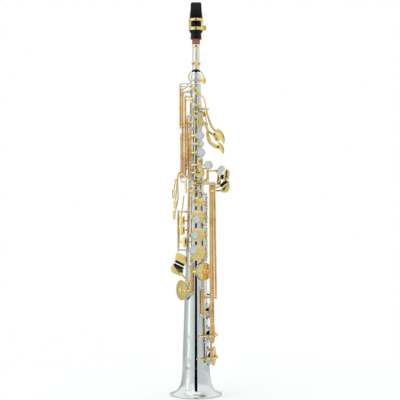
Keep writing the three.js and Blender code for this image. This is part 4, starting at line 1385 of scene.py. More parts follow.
@dataclass
class BodyTube:
    """The conical tube with its bored tone holes and their rims."""

    low: float = BORE.joint_z + 0.02
    on_bell: tuple[str, ...] = ("low_b", "low_b_flat")
    chimney_wall: float = 1.1

    def chimney(self, shell: Shell, hole: Hole) -> None:
        """Adds a tone hole's rim, with a rolled lip."""
        r, w = hole.cup * hole.share, self.chimney_wall
        start = -hole.rim - (r * r / (2 * BORE.radius(hole.z))) - 0.8
        start = max(start, 1 - BORE.radius(hole.z) - hole.rim)
        profile = [(r - w, start), (r, start), (r, -1.2), (r + 0.22, -0.5), (r, 0.0)]
        profile += [(r - w * 0.8, 0.0), (r - w, -0.5), (r - w, start)]
        shell.turn(soften(profile, 0.22), hole.top, hole.normal, 48)

    def bored(self, mesh: bpy.types.Mesh, holes: Iterable[Hole]) -> bpy.types.Mesh:
        """Cuts the tone holes through a wall.

        Args:
            mesh: The wall, in metres.
            holes: What to cut.

        Returns:
            The bored mesh.
        """
        cutter = Shell()
        for hole in holes:
            reach = BORE.radius(hole.z)
            r = hole.cup * hole.share - self.chimney_wall * 0.6
            profile = [(0, 1 - reach - hole.rim), (r, 1 - reach - hole.rim), (r, 1), (0, 1)]
            cutter.turn(profile, hole.top, hole.normal, 48)
        tool = bpy.data.objects.new("cutter", mesh_of(cutter, "cutter"))
        wall = bpy.data.objects.new("wall", mesh)
        for one in (tool, wall):
            bpy.context.scene.collection.objects.link(one)
        modifier = wall.modifiers.new("bore", "BOOLEAN")
        modifier.operation, modifier.solver, modifier.object = "DIFFERENCE", "MANIFOLD", tool
        graph = bpy.context.evaluated_depsgraph_get()
        cut = bpy.data.meshes.new_from_object(wall.evaluated_get(graph))
        wall.modifiers.clear()
        for one in (tool, wall):
            bpy.data.objects.remove(one)
        return cut

    def smoothed(self, piece: bpy.types.Object, slope: Callable[[float], float]) -> None:
        """Gives the wall the true normals of its turned faces, so that cuts don't dent its shine.

        Args:
            piece: The wall.
            slope: Growth of the radius down the wall at a height, in metres.
        """
        mesh = piece.data
        middle = AXIS_X * MM
        normals = np.zeros((len(mesh.corner_normals), 3), np.float32)
        mesh.corner_normals.foreach_get("vector", normals.ravel())
        for face in mesh.polygons:
            out = Vector((face.center.x - middle, face.center.y, 0))
            away = face.normal.dot(out.normalized())
            if abs(away) < 0.6:
                continue
            sign = math.copysign(1, away)
            for corner in face.loop_indices:
                place = mesh.vertices[mesh.loops[corner].vertex_index].co
                spoke = Vector((place.x - middle, place.y, 0)).normalized()
                spoke.z = slope(place.z / MM)
                normals[corner] = spoke.normalized() * sign
        mesh.normals_split_custom_set(normals.tolist())

    def build(self) -> None:
        """Makes the tube and the rims of its holes."""
        holes = [hole for name, hole in HOLES.items() if name not in self.on_bell]
        grown = bore_grower(self.low).grow([ORIGIN], SILVER)
        tube = dressed("tube_wall", self.bored(grown, holes), SILVER, "body", ["body_tube"])
        self.smoothed(tube, lambda z: BORE.taper)
        rims = Shell()
        for hole in holes:
            self.chimney(rims, hole)
        piece_of("tone_hole_rims", rims, SILVER, "body")


@dataclass
class Bell:
    """The flared bell, its rolled rim and the rims of its two holes."""

    rim_radius: float = 46.0
    rim_height: float = 3.2
    wall: float = 1.4
    flare: tuple[tuple[float, float], ...] = (
        (44.2, 1.9), (42.2, 2.6), (38.6, 4.2), (35.0, 6.8), (31.6, 10.8), (28.4, 17.0),
        (26.2, 26.0), (24.6, 40.0),
    )

    def outline(self) -> list[tuple[float, float]]:
        """Outer line from the mouth up, as (radius, height)."""
        top = [(BORE.radius(z), z) for z in (55, 75, 100, 120, BORE.joint_z)]
        line = smooth_line([vec(r, z, 0) for r, z in (*self.flare, *top)], 1.4)
        return [(p.x, p.y) for p in line]

    def build(self) -> None:
        """Makes the bell's pieces."""
        outer = self.outline()
        inner = [(r - self.wall, z) for r, z in outer]
        shell = Shell().turn([*outer, *reversed(inner), outer[0]], sides=160)
        tube = BodyTube()
        holes = [HOLES[name] for name in tube.on_bell]
        bell = dressed(
            "bell_wall", tube.bored(mesh_of(shell), holes), BELL_SILVER, "body", ["bell"]
        )
        heights = [z for _, z in outer]
        slopes = [-(b[0] - a[0]) / (b[1] - a[1]) for a, b in zip(outer, outer[1:])]
        tube.smoothed(bell, lambda z: float(np.interp(z, heights[1:], slopes)))
        rims = Shell()
        for hole in holes:
            tube.chimney(rims, hole)
        piece_of("bell_hole_rims", rims, SILVER, "body")
        r, h = self.rim_radius, self.rim_height
        roll = []
        for angle in angles(18):
            roll.append((r - 1.7 + 1.7 * math.cos(angle), h / 2 + h / 2 * math.sin(angle)))
        rolled = Shell().turn([*roll, roll[0]], sides=160)
        lip = [
            (r - 2.2, 0.5), (r - 2.2, 1.5), (self.flare[1][0] - 1, 2.5), (self.flare[1][0] - 1, 1.7)
        ]
        rolled.turn([*lip, lip[0]], sides=160, soft=0.2)
        piece_of("rolled_rim", rolled, SILVER, "body", ["bell_rim"])


# ------------------------------------------------------------------ receiver, neck and mouthpiece


@dataclass
class Receiver:
    """The slit collar that grips the neck, with its lugs and thumb screw."""

    low: float = 548.3
    high: float = 565.0
    radius: float = 9.0
    inside: float = 6.7
    screw_z: float = 555.0
    screw_y: float = -11.4

    def build(self) -> None:
        """Makes the receiver and its screw."""
        r, z = self.radius, self.high
        half = math.degrees(math.asin(0.7 / r))
        collar = Shell()
        height = z - self.low
        body = [
            (self.inside, 0), (r + 0.3, 0), (r + 0.5, 0.8), (r + 0.3, 1.6), (r, 2.2),
            (r, height - 3),
        ]
        body += [
            (r + 0.5, height - 2.4), (r + 0.6, height - 1.2), (r + 0.3, height),
            (self.inside, height),
        ]
        line = soften([*body, body[0]], 0.3)[:-1]
        rings = []
        for k in range(73):
            azimuth = half + (360 - 2 * half) * k / 72
            rings.append([BORE.point(azimuth, q[0], self.low + q[1]) for q in line])
        middle = [sum(ring, ORIGIN) / len(ring) for ring in (rings[0], rings[-1])]
        collar.skin(rings, middle[0], middle[1])
        for side in (-1, 1):
            lug = oval(4.6, 3.2, 3.0)
            collar.crown(lug, vec(side * 2.0, -10.4, self.screw_z), UP, vec(side, 0, 0), 2.6, 0.25)
        piece_of("receiver_collar", collar, NECK_SILVER, "body", ["neck_receiver"])
        screw = Shell()
        start = vec(-6, self.screw_y, self.screw_z)
        line = [(0, 0), (1.3, 0), (1.3, 10.8), (2.5, 11.2), (2.7, 12.2), (2.5, 13.6), (1.4, 14.4)]
        screw.turn(soften([*line, (1.2, 17), (0, 17)], 0.3), start, RIGHT, 24)
        face = oval(6.4, 3.7, 2.3, 48)
        facing = vec(-0.35, -0.94, 0)
        screw.crown(face, vec(13.6, -11.0, self.screw_z), UP, facing, 1.5, 0.5, 0.7)
        screw.crown(face, vec(13.6, -11.6, self.screw_z), UP, -facing, 1.3, 0.4, 0.6)
        piece_of("neck_screw_metal", screw, GOLD, "neck_screw", ["neck_screw"])


@dataclass
class Neck:
    """The neck tube with its rings and saddle, the cork, and the octave key over them."""

    shoulder: float = 565.3
    top: float = 652.0
    saddle_z: float = 585.0
    hinge_y: float = -10.6
    ring_radius: float = 13.0
    ring_z: float = 562.0
    ring_tilt: float = -38.0
    ring_stretch: float = 1.27

    def build(self) -> None:
        """Makes the neck, the cork and the key."""
        s = self.shoulder
        line = [(4.6, 549.5), (6.4, 549.5), (6.4, s), (8.2, s), (8.5, s + 1.2), (8.2, s + 2.4)]
        line += [(7.2, s + 3.2), (6.9, s + 4.6), (6.55, 592), (6.4, 603), (6.25, 612), (6.7, 616.6)]
        line += [
            (6.95, 618), (6.7, 619.2), (6, 619.6), (5.6, self.top), (4.1, self.top), (4.6, 549.5)
        ]
        tube = Shell().turn(soften(line, 0.5), sides=72)
        tube.turn([(0, -6.0), (1.9, -6.4), (1.9, -0.8), (2.3, -0.4), (2.3, 0), (0, 0)],
                  vec(0, -6.8, 613.8), FRONT, 28)
        z, y = self.saddle_z, self.hinge_y
        tube.patch((-58, 58), (z - 3.4, z + 3.4), lambda q: 6.4, 1.1, 1.2)
        for side in (-1, 1):
            ear = vec(side * 6.0, -8.0, z)
            tube.crown(oval(2.7, 4.0, 2.6), ear, UP, vec(side, 0, 0), 1.7, 0.15)
            tube.turn(
                [(0, 0), (2.4, 0), (2.4, 1.9), (0, 1.9)], vec(side * 6.0, y, z), vec(side, 0, 0),
                24, 0.4,
            )
        piece_of("neck_silver", tube, NECK_SILVER, "neck", ["neck_tube"])
        cork = [(6.3, 619.4), (6.9, 619.4), (6.95, 622), (6.75, 649.5), (6.3, 650), (6.3, 619.4)]
        piece_of(
            "neck_cork_sleeve", Shell().turn(cork, sides=48, soft=0.3), CORK, "neck", ["neck_cork"]
        )
        self.octave_key()

    def octave_key(self) -> None:
        """Makes the octave key that swings on the neck."""
        key = Key("neck_octave_key", "neck_octave_press")
        z, y = self.saddle_z, self.hinge_y
        key.tube(vec(-5.4, y, z), vec(5.4, y, z), 1.5)
        boss = [(0, -1.6), (4.2, -1.6), (5.3, -0.6), (5.3, 0.7), (4.4, 1.4), (3.2, 1.2), (0, 1.5)]
        key.metal.turn(soften(boss, 0.4), vec(0, y - 0.6, z), vec(-0.3, -0.95, 0), 48)
        pad = [(0, 1.0), (3.4, 1.0), (3.9, 1.6), (3.9, 2.9), (3.3, 3.4), (1.4, 3.7), (0, 3.7)]
        key.metal.turn(soften(pad, 0.3), vec(0, -7.4, 613.8), FRONT, 40)
        key.pads.turn(
            [(0, 0.1), (3.0, 0.1), (3.3, 0.6), (3.3, 1.1), (0, 1.1)], vec(0, -7.4, 613.8), FRONT, 32
        )
        key.arm(
            [(0, -10.8, 589), (0, -12, 596), (0, -12.2, 604), (0, -11, 613)], 4.0, 1.6,
            vec(-0.2, -0.98, 0),
        )
        key.arm([(0, -11.2, 582), (0, -12.4, 577.5), (0, -13.4, 572.5)], 4.4, 1.7, FRONT, 0.66)
        tilt = math.radians(self.ring_tilt)
        line = []
        for angle in angles(72):
            depth = self.ring_radius * self.ring_stretch * math.sin(angle)
            across = self.ring_radius * math.cos(angle)
            line.append(vec(across, depth * math.cos(tilt), self.ring_z + depth * math.sin(tilt)))
        level = vec(0, -math.sin(tilt), math.cos(tilt))
        key.metal.hoop(line, 1.1, level)
        key.finish()
        sleeve = Shell().sweep(line[48:61], [2.6, 4.4, 5.0, 4.4, 2.6], [2.6, 3.4, 2.6], level, 2.4)
        piece_of("neck_octave_sleeve", sleeve, ROLLER_EBONITE, "neck_octave_key")


@dataclass
class Mouthpiece:
    """The mouthpiece with its beak, window and bore, the reed, and the ligature."""

    low: float = 628.4
    top: float = 695.6
    table_y: float = 8.2
    table_z: float = 639.0
    screw_z: float = 651.0
    outline: tuple[tuple[float, float], ...] = (
        (9.5, 628.6), (9.55, 634.0), (9.6, 639.6), (11.3, 640.8), (11.7, 642.0), (11.7, 655.0),
        (11.7, 666.0), (11.3, 671.0), (10.6, 676.0), (9.9, 681.0), (9.7, 686.0), (9.6, 690.0),
        (9.3, 693.2), (8.6, 694.8),
    )

    def beak(self, z: float) -> float:
        """Front face of the beak at a height."""
        share = (z - 655) / (self.top - 655)
        return -12.2 if share <= 0 else -11.7 + 17.9 * share - 1.6 * math.sin(math.pi * share)

    def section(self, radius: float, z: float, table: bool) -> list[Vector]:
        """One level of the outside: a circle cut flat by the table and by the beak."""
        points = []
        for angle in angles(96):
            x, y = radius * math.sin(angle), -radius * math.cos(angle)
            if table and z > self.table_z:
                y = min(y, self.table_y)
            points.append(vec(x, max(y, self.beak(z)), z))
        return points

    def build(self) -> None:
        """Makes the mouthpiece, reed and ligature."""
        line = smooth_line([vec(r, z, 0) for r, z in self.outline], 1.0)
        outer = [self.section(p.x, p.y, True) for p in line]
        tip = [vec(p.x * 0.8, 6.6 + (p.y - 6.6) * 0.5, self.top - 0.1) for p in outer[-1]]
        bore = [
            (2.4, 690), (4.0, 684), (4.3, 678), (5.0, 654), (7.3, 653.4), (7.3, 630), (7.6, 628.6)
        ]
        inner = []
        for radius, z in bore:
            ring = self.section(radius, z, False)
            lean = 5.0 if z > 684 else 0.0
            inner.append([vec(p.x, min(p.y + lean, self.table_y - 0.8), z) for p in ring])
        lip = self.section(8.6, self.low, False)
        body = Shell().skin([*inner, lip, *outer, tip], vec(0, 6.6, 691), vec(0, 6.9, self.top))
        band = [(9.0, -0.2), (9.95, -0.2), (10.05, 1.0), (9.95, 2.2), (9.0, 2.2), (9.0, -0.2)]
        body.turn(band, vec(0, 0, self.low + 0.6), UP, 72, 0.3)
        piece_of("mouthpiece_body", body, MOUTH_EBONITE, "mouthpiece", ["mouthpiece"])
        self.reed()
        self.ligature()

    def reed(self) -> None:
        """Makes the reed, with its bark, its cut and its thin tip."""
        low, top = 640.0, 694.6
        rings = []
        for k in range(41):
            z = low + (top - low) * k / 40
            share = max(0.0, (z - 668) / (top - 668))
            thick = 2.2 * (1 - share) ** 0.85 + 0.12
            half = 5.0 + 0.45 * (z - low) / (top - low)
            if z > top - 3.5:
                half *= math.sqrt(max(0.05, 1 - ((z - top + 3.5) / 3.6) ** 2))
            ring = []
            for q in oval(1, 1, 5.0, 36):
                round_back = (1 - 0.3 * q.x * q.x) if q.y > 0 else 1.0
                lift = thick * (0.5 + 0.5 * q.y) * round_back
                ring.append(vec(half * q.x, self.table_y + 0.3 + lift, z))
            rings.append(ring)
        reed = Shell().skin(rings, sum(rings[0], ORIGIN) / 36, sum(rings[-1], ORIGIN) / 36)
        piece_of("reed_cane", reed, CANE, "mouthpiece", ["reed"])

    def ligature(self) -> None:
        """Makes the ligature: two hoops, a wall with an open window, lugs and a screw."""
        low, high, r, t = 644.0, 664.4, 12.0, 1.0
        metal = Shell()
        for z0, z1 in ((low, 649.2), (660.0, high)):
            band = [(r, z0), (r + t, z0), (r + t, z1), (r, z1), (r, z0)]
            metal.turn(band, sides=96, soft=0.25)
            for z in (z0 + 0.7, z1 - 0.7):
                bead = [
                    (r + 0.6, z - 0.7), (r + t + 0.35, z), (r + 0.6, z + 0.7), (r + 0.6, z - 0.7)
                ]
                metal.turn(bead, sides=96, soft=0.3)
        metal.patch((41, 150), (649, 660.4), lambda z: r, t, 1.2)
        metal.patch((-150, -41), (649, 660.4), lambda z: r, t, 1.2)
        z = self.screw_z
        for side in (-1, 1):
            lug = vec(side * 2.8, 14.4, z)
            metal.crown(oval(3.6, 3.0, 2.6), lug, UP, vec(side, 0, 0), 2.4, 0.2)
        piece_of("ligature_metal", metal, GOLD, "mouthpiece", ["ligature"])
        screw = Shell()
        stem = [(0, 0), (1.4, 0), (1.4, 16.4), (2.6, 17), (2.8, 18.2), (4.0, 18.4)]
        stem += [(4.4, 19), (4.4, 23.4), (3.9, 24), (1.6, 24.3), (0, 24.3)]
        screw.turn(soften(stem, 0.3), vec(-6, 15, z), RIGHT, 48)
        piece_of("ligature_screw_metal", screw, GOLD, "ligature_screw", ["ligature_screw"])
        ridges = knurl_grower(4.36, 4.0, 36).grow([vec(15.2, 15, z)], GOLD, lean=[RIGHT])
        dressed("ligature_screw_grip", ridges, GOLD, "ligature_screw")


@dataclass
class BackFittings:
    """Thumb hook, thumb rest and strap ring."""

    hook_z: float = 296.0
    rest_z: float = 466.0
    ring_z: float = 345.0

    def build(self) -> None:
        """Makes the three fittings."""
        back = lambda r, z: BORE.point(180, r, z)
        z = self.hook_z
        base = BORE.radius(z) + 0.6
        hook = Shell().sweep(
            smooth_line(
                [back(base + 1.2, z - 18), back(base + 1.4, z - 4), back(base + 1.4, z + 10)]
            ),
            [9, 12.5, 12.5, 9], [2.2, 2.2], vec(0, 1, 0), 3.0, 24,
        )
        lip = [back(base + 1.4, z + 9), back(base + 6, z + 10), back(base + 13, z + 8)]
        lip += [back(base + 19, z + 3), back(base + 21.5, z - 4)]
        hook.sweep(smooth_line(lip), [12, 13, 14, 15, 13], [2.4, 2.2], vec(0, 0.35, 1), 3.0, 24)
        piece_of("thumb_hook_metal", hook, GOLD, "body", ["thumb_hook"])
        z = self.rest_z
        start = BORE.radius(z)
        seat = [(0, -0.6), (5.5, -0.6), (7.0, 0.8), (7.0, 2.6), (6.4, 3.3), (5.9, 2.7), (0, 2.7)]
        rest = Shell().turn(soften(seat, 0.4), back(start + 0.4, z), vec(0, 1, 0), 56)
        piece_of("thumb_rest_metal", rest, GOLD, "body", ["thumb_rest"])
        face = [(0, 2.6), (5.8, 2.6), (5.5, 3.4), (3.5, 3.9), (0, 4.1)]
        button = Shell().turn(soften(face, 0.4), back(start + 0.4, z), vec(0, 1, 0), 48)
        piece_of("thumb_rest_button", button, ROLLER_EBONITE, "body")
        z = self.ring_z
        start = BORE.radius(z) + 0.4
        plate = Shell().patch((160, 200), (z - 11, z + 11), lambda q: BORE.radius(q) + 0.2, 1.4, 3)
        circle = []
        for angle in angles(48):
            circle.append(vec(0, start + 8.4 + 6 * math.sin(angle), z + 6 * math.cos(angle)))
        plate.hoop(circle, 1.35, RIGHT)
        plate.turn([(0, -1), (2.6, -1), (2.0, 2.2), (0, 2.6)], back(start, z), vec(0, 1, 0), 28)
        piece_of("strap_ring_metal", plate, SILVER, "body", ["strap_ring"])
        screws = [back(BORE.radius(q) + 2.2, q) for q in (self.hook_z + 5, self.hook_z - 12)]
        lean = [vec(0, 1, 0)] * 2
        points = [p + vec(0, 1.2, 0) for p in screws]
        dressed(
            "thumb_hook_screws", screw_grower(2.2, 1.1, 0.6).grow(points, STEEL, lean=lean), STEEL,
            "body",
        )


# ------------------------------------------------------------------ stacks


def stack_arm(key: Key) -> list[Vector]:
    """Line of an arm from a stack's hinge, over the edge of the key's cup, to its middle."""
    hole = HOLES[key.hole]
    over = hole.over()
    root = key.hinge.at(over.z)
    across = UP.cross(hole.normal)
    side = across.dot(root)
    reach = min(hole.cup + 0.5, abs(side) - 1.5)
    brink = hole.top + hole.normal * 2.4 + across * math.copysign(reach, side)
    return [root, brink, over]


@dataclass
class LeftStack:
    """The left hand's stack keys, and the front F key above them."""

    radius: float = 2.2
    spans: dict[str, tuple[float, float]] = field(
        default_factory=lambda: {
            "b": (447.4, 467.0), "bis": (437.4, 446.8), "a": (413.0, 436.8), "g": (383.0, 407.6)
        }
    )

    def key(self, hole: str, *collars: float) -> Key:
        """One key of the stack, with its tube, arm and cup."""
        names = () if hole == "bis" else (f"pearl_{hole}",)
        key = Key(f"{hole}_key", f"{hole}_press", Rest.OPEN, hole, names)
        key.rod(*self.spans[hole], self.radius, HOLES[hole].z, *collars)
        key.arm(stack_arm(key), 4.0, 2.0)
        return key.cup()

    def build(self) -> None:
        """Makes the stack."""
        for hole in ("b", "a"):
            key = self.key(hole)
            spot = HOLES[hole]
            key.pearl(spot.over(0.6), spot.normal, spot.cup - 1)
            key.felt(key.hinge.at(spot.z - 4) + vec(1.6, 1.4, 0), vec(0, 1, 0), 1.2, 1.2)
            key.finish()
        bis, spot = self.key("bis"), HOLES["bis"]
        bis.pearl(spot.over(0.6), spot.normal, 3.9).finish()
        g = self.key("g", 405.6)
        g.arm([(-9.4, -17, 405.6), (-1, -20, 405.8), (8, -20, 405.6), (22, -20.4, 405)], 3.6)
        g.pearl(vec(23.3, -21.1, 405), FRONT, 6.6)
        paddle = smooth_line(table_of((8, -20.2, 405), (8, -20.2, 410), (8, -19.8, 416)))
        g.metal.sweep(paddle, [6, 9.4, 9.6, 8.6], [2.4, 2.4], FRONT, 4.0, 24)
        g.screws.append((vec(8, -21.6, 412), FRONT))
        g.finish()
        self.front_f()

    def front_f(self) -> None:
        """Makes the front F key, with its two-pronged touch."""
        key = Key("front_f_key", "front_f_press")
        key.rod(491, 504, 1.8, 492.8, 500)
        key.arm([(-5.5, -18.8, 500), (4, -20.6, 499), (13, -20.8, 498)], 3.0)
        key.arm([(-5.5, -18.8, 492.6), (2, -22, 490.6), (7.4, -23.2, 486)], 3.0)
        bow = ((0, 488), (2.6, 483), (3.4, 478.5), (2.6, 474), (0, 469))
        for side in (-1, 1):
            prong = smooth_line([vec(7.5 + side * x, -24, z) for x, z in bow])
            key.metal.sweep(prong, [2.2, 3.6, 4.0, 3.4, 1.6], [1.6, 2.4, 1.6], FRONT, 2.4)
        key.finish()


@dataclass
class RightStack:
    """The right hand's stack keys."""

    radius: float = 2.3
    spans: dict[str, tuple[float, float]] = field(
        default_factory=lambda: {
            "f_sharp": (332.0, 352.0), "f": (303.0, 331.4), "e": (268.0, 296.6), "d": (242.0, 267.4)
        }
    )
    pearls: dict[str, tuple[float, float]] = field(
        default_factory=lambda: {"f": (0.0, 311.0), "e": (-3.3, 283.0), "d": (-5.9, 257.0)}
    )

    def key(self, hole: str) -> Key:
        """One key of the stack, with its tube, arm and cup."""
        names = (f"pearl_{hole}",) if hole in self.pearls else ()
        key = Key(f"{hole}_key", f"{hole}_press", Rest.OPEN, hole, names, NICKEL)
        z, (low, high) = HOLES[hole].z, self.spans[hole]
        key.rod(low, high, self.radius, z, low + 2, high - 2)
        key.arm(stack_arm(key), 4.4, 2.2)
        brink = stack_arm(key)[1] + vec(0, 0.4, -5)
        key.arm([key.hinge.at(z - 6), brink], 2.6, 1.6)
        return key.cup(0.6)

    def build(self) -> None:
        """Makes the stack."""
        for hole, (x, z) in self.pearls.items():
            key = self.key(hole)
            over = HOLES[hole].over()
            key.pearl(vec(x, over.y + 0.6, z), FRONT, 6.4)
            key.felt(key.hinge.at(HOLES[hole].z + 5) + vec(-1.2, 1.8, 0), vec(0, 1, 0), 1.3, 1.2)
            key.finish()
        sharp = self.key("f_sharp")
        over = HOLES["f_sharp"].over()
        sharp.boss(over + FRONT * 0.4, HOLES["f_sharp"].normal, 3.4, 1.6)
        sharp.arm([over, (5, -21, 349), (5, -20.4, 360)], 4.6, 2.0, FRONT)
        for z in (349.0, 357.0):
            sharp.boss(vec(5, -21.4, z), FRONT, 2.7, 1.6)
            sharp.screws.append((vec(5, -23.0, z), FRONT))
        sharp.felt(vec(5, -19.4, 359.6), vec(0, 1, 0), 1.6, 0.9)
        sharp.finish()


# ------------------------------------------------------------------ palm and octave keys


@dataclass
class PalmKeys:
    """The three palm levers of the left hand."""

    def lever(
        self, node: str, hole: str, half: float, broad: float, up: list[Vector], down: list[Vector]
    ) -> Key:
        """A lever across a short hinge, with a cup above.

        Args:
            node: The key's node.
            hole: Its tone hole.
            half: Half its hinge's length.
            broad: Width of the arm below the hinge.
            up: Points between the hinge and the cup.
            down: Points between the hinge and the touch.

        Returns:
            The key, which still lacks its touch.
        """
        key = Key(node, f"{node.removesuffix('_key')}_press", hole=hole)
        middle = key.hinge.along(half)
        key.tube(key.hinge.origin, key.hinge.along(half * 2), 1.9, [middle])
        key.arm([middle, *up, HOLES[hole].over()], 3.2, 1.9)
        arm = smooth_line([middle, *down])
        key.metal.sweep(arm, [3.0, 3.0, broad, broad, broad], [2.0, 2.0], vec(-0.35, -0.94, 0))
        key.cap(2.2, 1.0)
        return key.cup(0.3)

    def crescent(self, key: Key, centre: Vector, length: float, depth: float) -> None:
        """Adds a crescent touch that a palm rests on."""
        x, y, z = basis(vec(0.42, 0, -0.9), vec(-0.3, -0.94, -0.1))
        line, widths = [], []
        for k in range(29):
            t = k / 28
            bow = 4 * t * (1 - t)
            line.append(centre + x * (length * (t - 0.5)) + y * (depth * 0.28 * bow) + z * 1.1)
            widths.append(1.3 + depth * 0.94 * bow**0.8)
        key.metal.sweep(line, widths, [1.4, 2.5, 2.7, 2.5, 1.4], z, 2.4, 22)

    def build(self) -> None:
        """Makes the three keys."""
        f = self.lever(
            "palm_f_key", "palm_f", 4.4, 4.2, table_of((14, -13.6, 523)),
            table_of((21.5, -8.5, 490), (27.6, -7, 474), (33.5, -6, 467), (41, -5, 464)),
        )
        self.crescent(f, vec(43.5, -6, 457), 28, 8)
        f.finish()
        e_flat = self.lever(
            "palm_e_flat_key", "palm_e_flat", 3.6, 6.6, table_of((8.4, -14.6, 499)),
            table_of(
                (18.9, -11, 470), (20.6, -10, 459), (25, -8, 446), (36, -6, 438.5), (42, -6, 438)
            ),
        )
        self.crescent(e_flat, vec(43.6, -7, 436), 22, 7)
        e_flat.finish()
        d = self.lever(
            "palm_d_key", "palm_d", 4.4, 3.8, table_of((17.6, 3.2, 490)),
            table_of((22.5, 4, 466), (32, 3, 459)),
        )
        d.metal.crown(
            oval(9, 5, 2.4), vec(36, 2, 456), vec(0.5, 0, -0.87), vec(0.2, -0.97, 0), 1.8, 1.0, 0.7
        )
        d.boss(vec(36, 0.4, 457), vec(0.2, -0.97, 0), 3.4, 1.6)
        d.finish()


@dataclass
class OctaveWork:
    """The thumb's octave lever and the vent on the body."""

    lever_line: tuple[float, float] = (476.0, 543.0)
    vent_line: tuple[float, float] = (404.0, 489.0)

    def build(self) -> None:
        """Makes both keys."""
        lever = Key("octave_lever", "octave_lever_press")
        lever.rod(*self.lever_line, 1.9, 480, 540, 510)
        lever.arm([(-27.9, 6, 480), (-22, 16, 480), (-12, 20.2, 481), (-5, 20.2, 481)], 4.0)
        lever.metal.crown(
            oval(9, 5.4, 2.5), vec(-3, 19, 481), vec(1, 0.1, 0), vec(0, 1, 0), 1.6, 0.9
        )
        lever.arm([(-27.9, 6, 540), (-19, 9.5, 543), (-15.4, 9.7, 548), (-15, 9.6, 552)], 3.0)
        lever.felt(vec(-15, 10.2, 551), vec(0.6, -0.8, 0), 1.3, 1.6)
        lever.finish()
        vent = Key("octave_vent_key", "octave_vent_press", hole="octave")
        vent.rod(*self.vent_line, 1.8, 481, 440, 409)
        over, normal = HOLES["octave"].over(), HOLES["octave"].normal
        vent.arm([(-15, -9, 481), (-8.6, -15.6, 481), over], 3.0, 1.8)
        vent.boss(over + normal * 0.6, normal, 2.4, 1.6)
        vent.cup(0.2).finish()


# ------------------------------------------------------------------ side keys


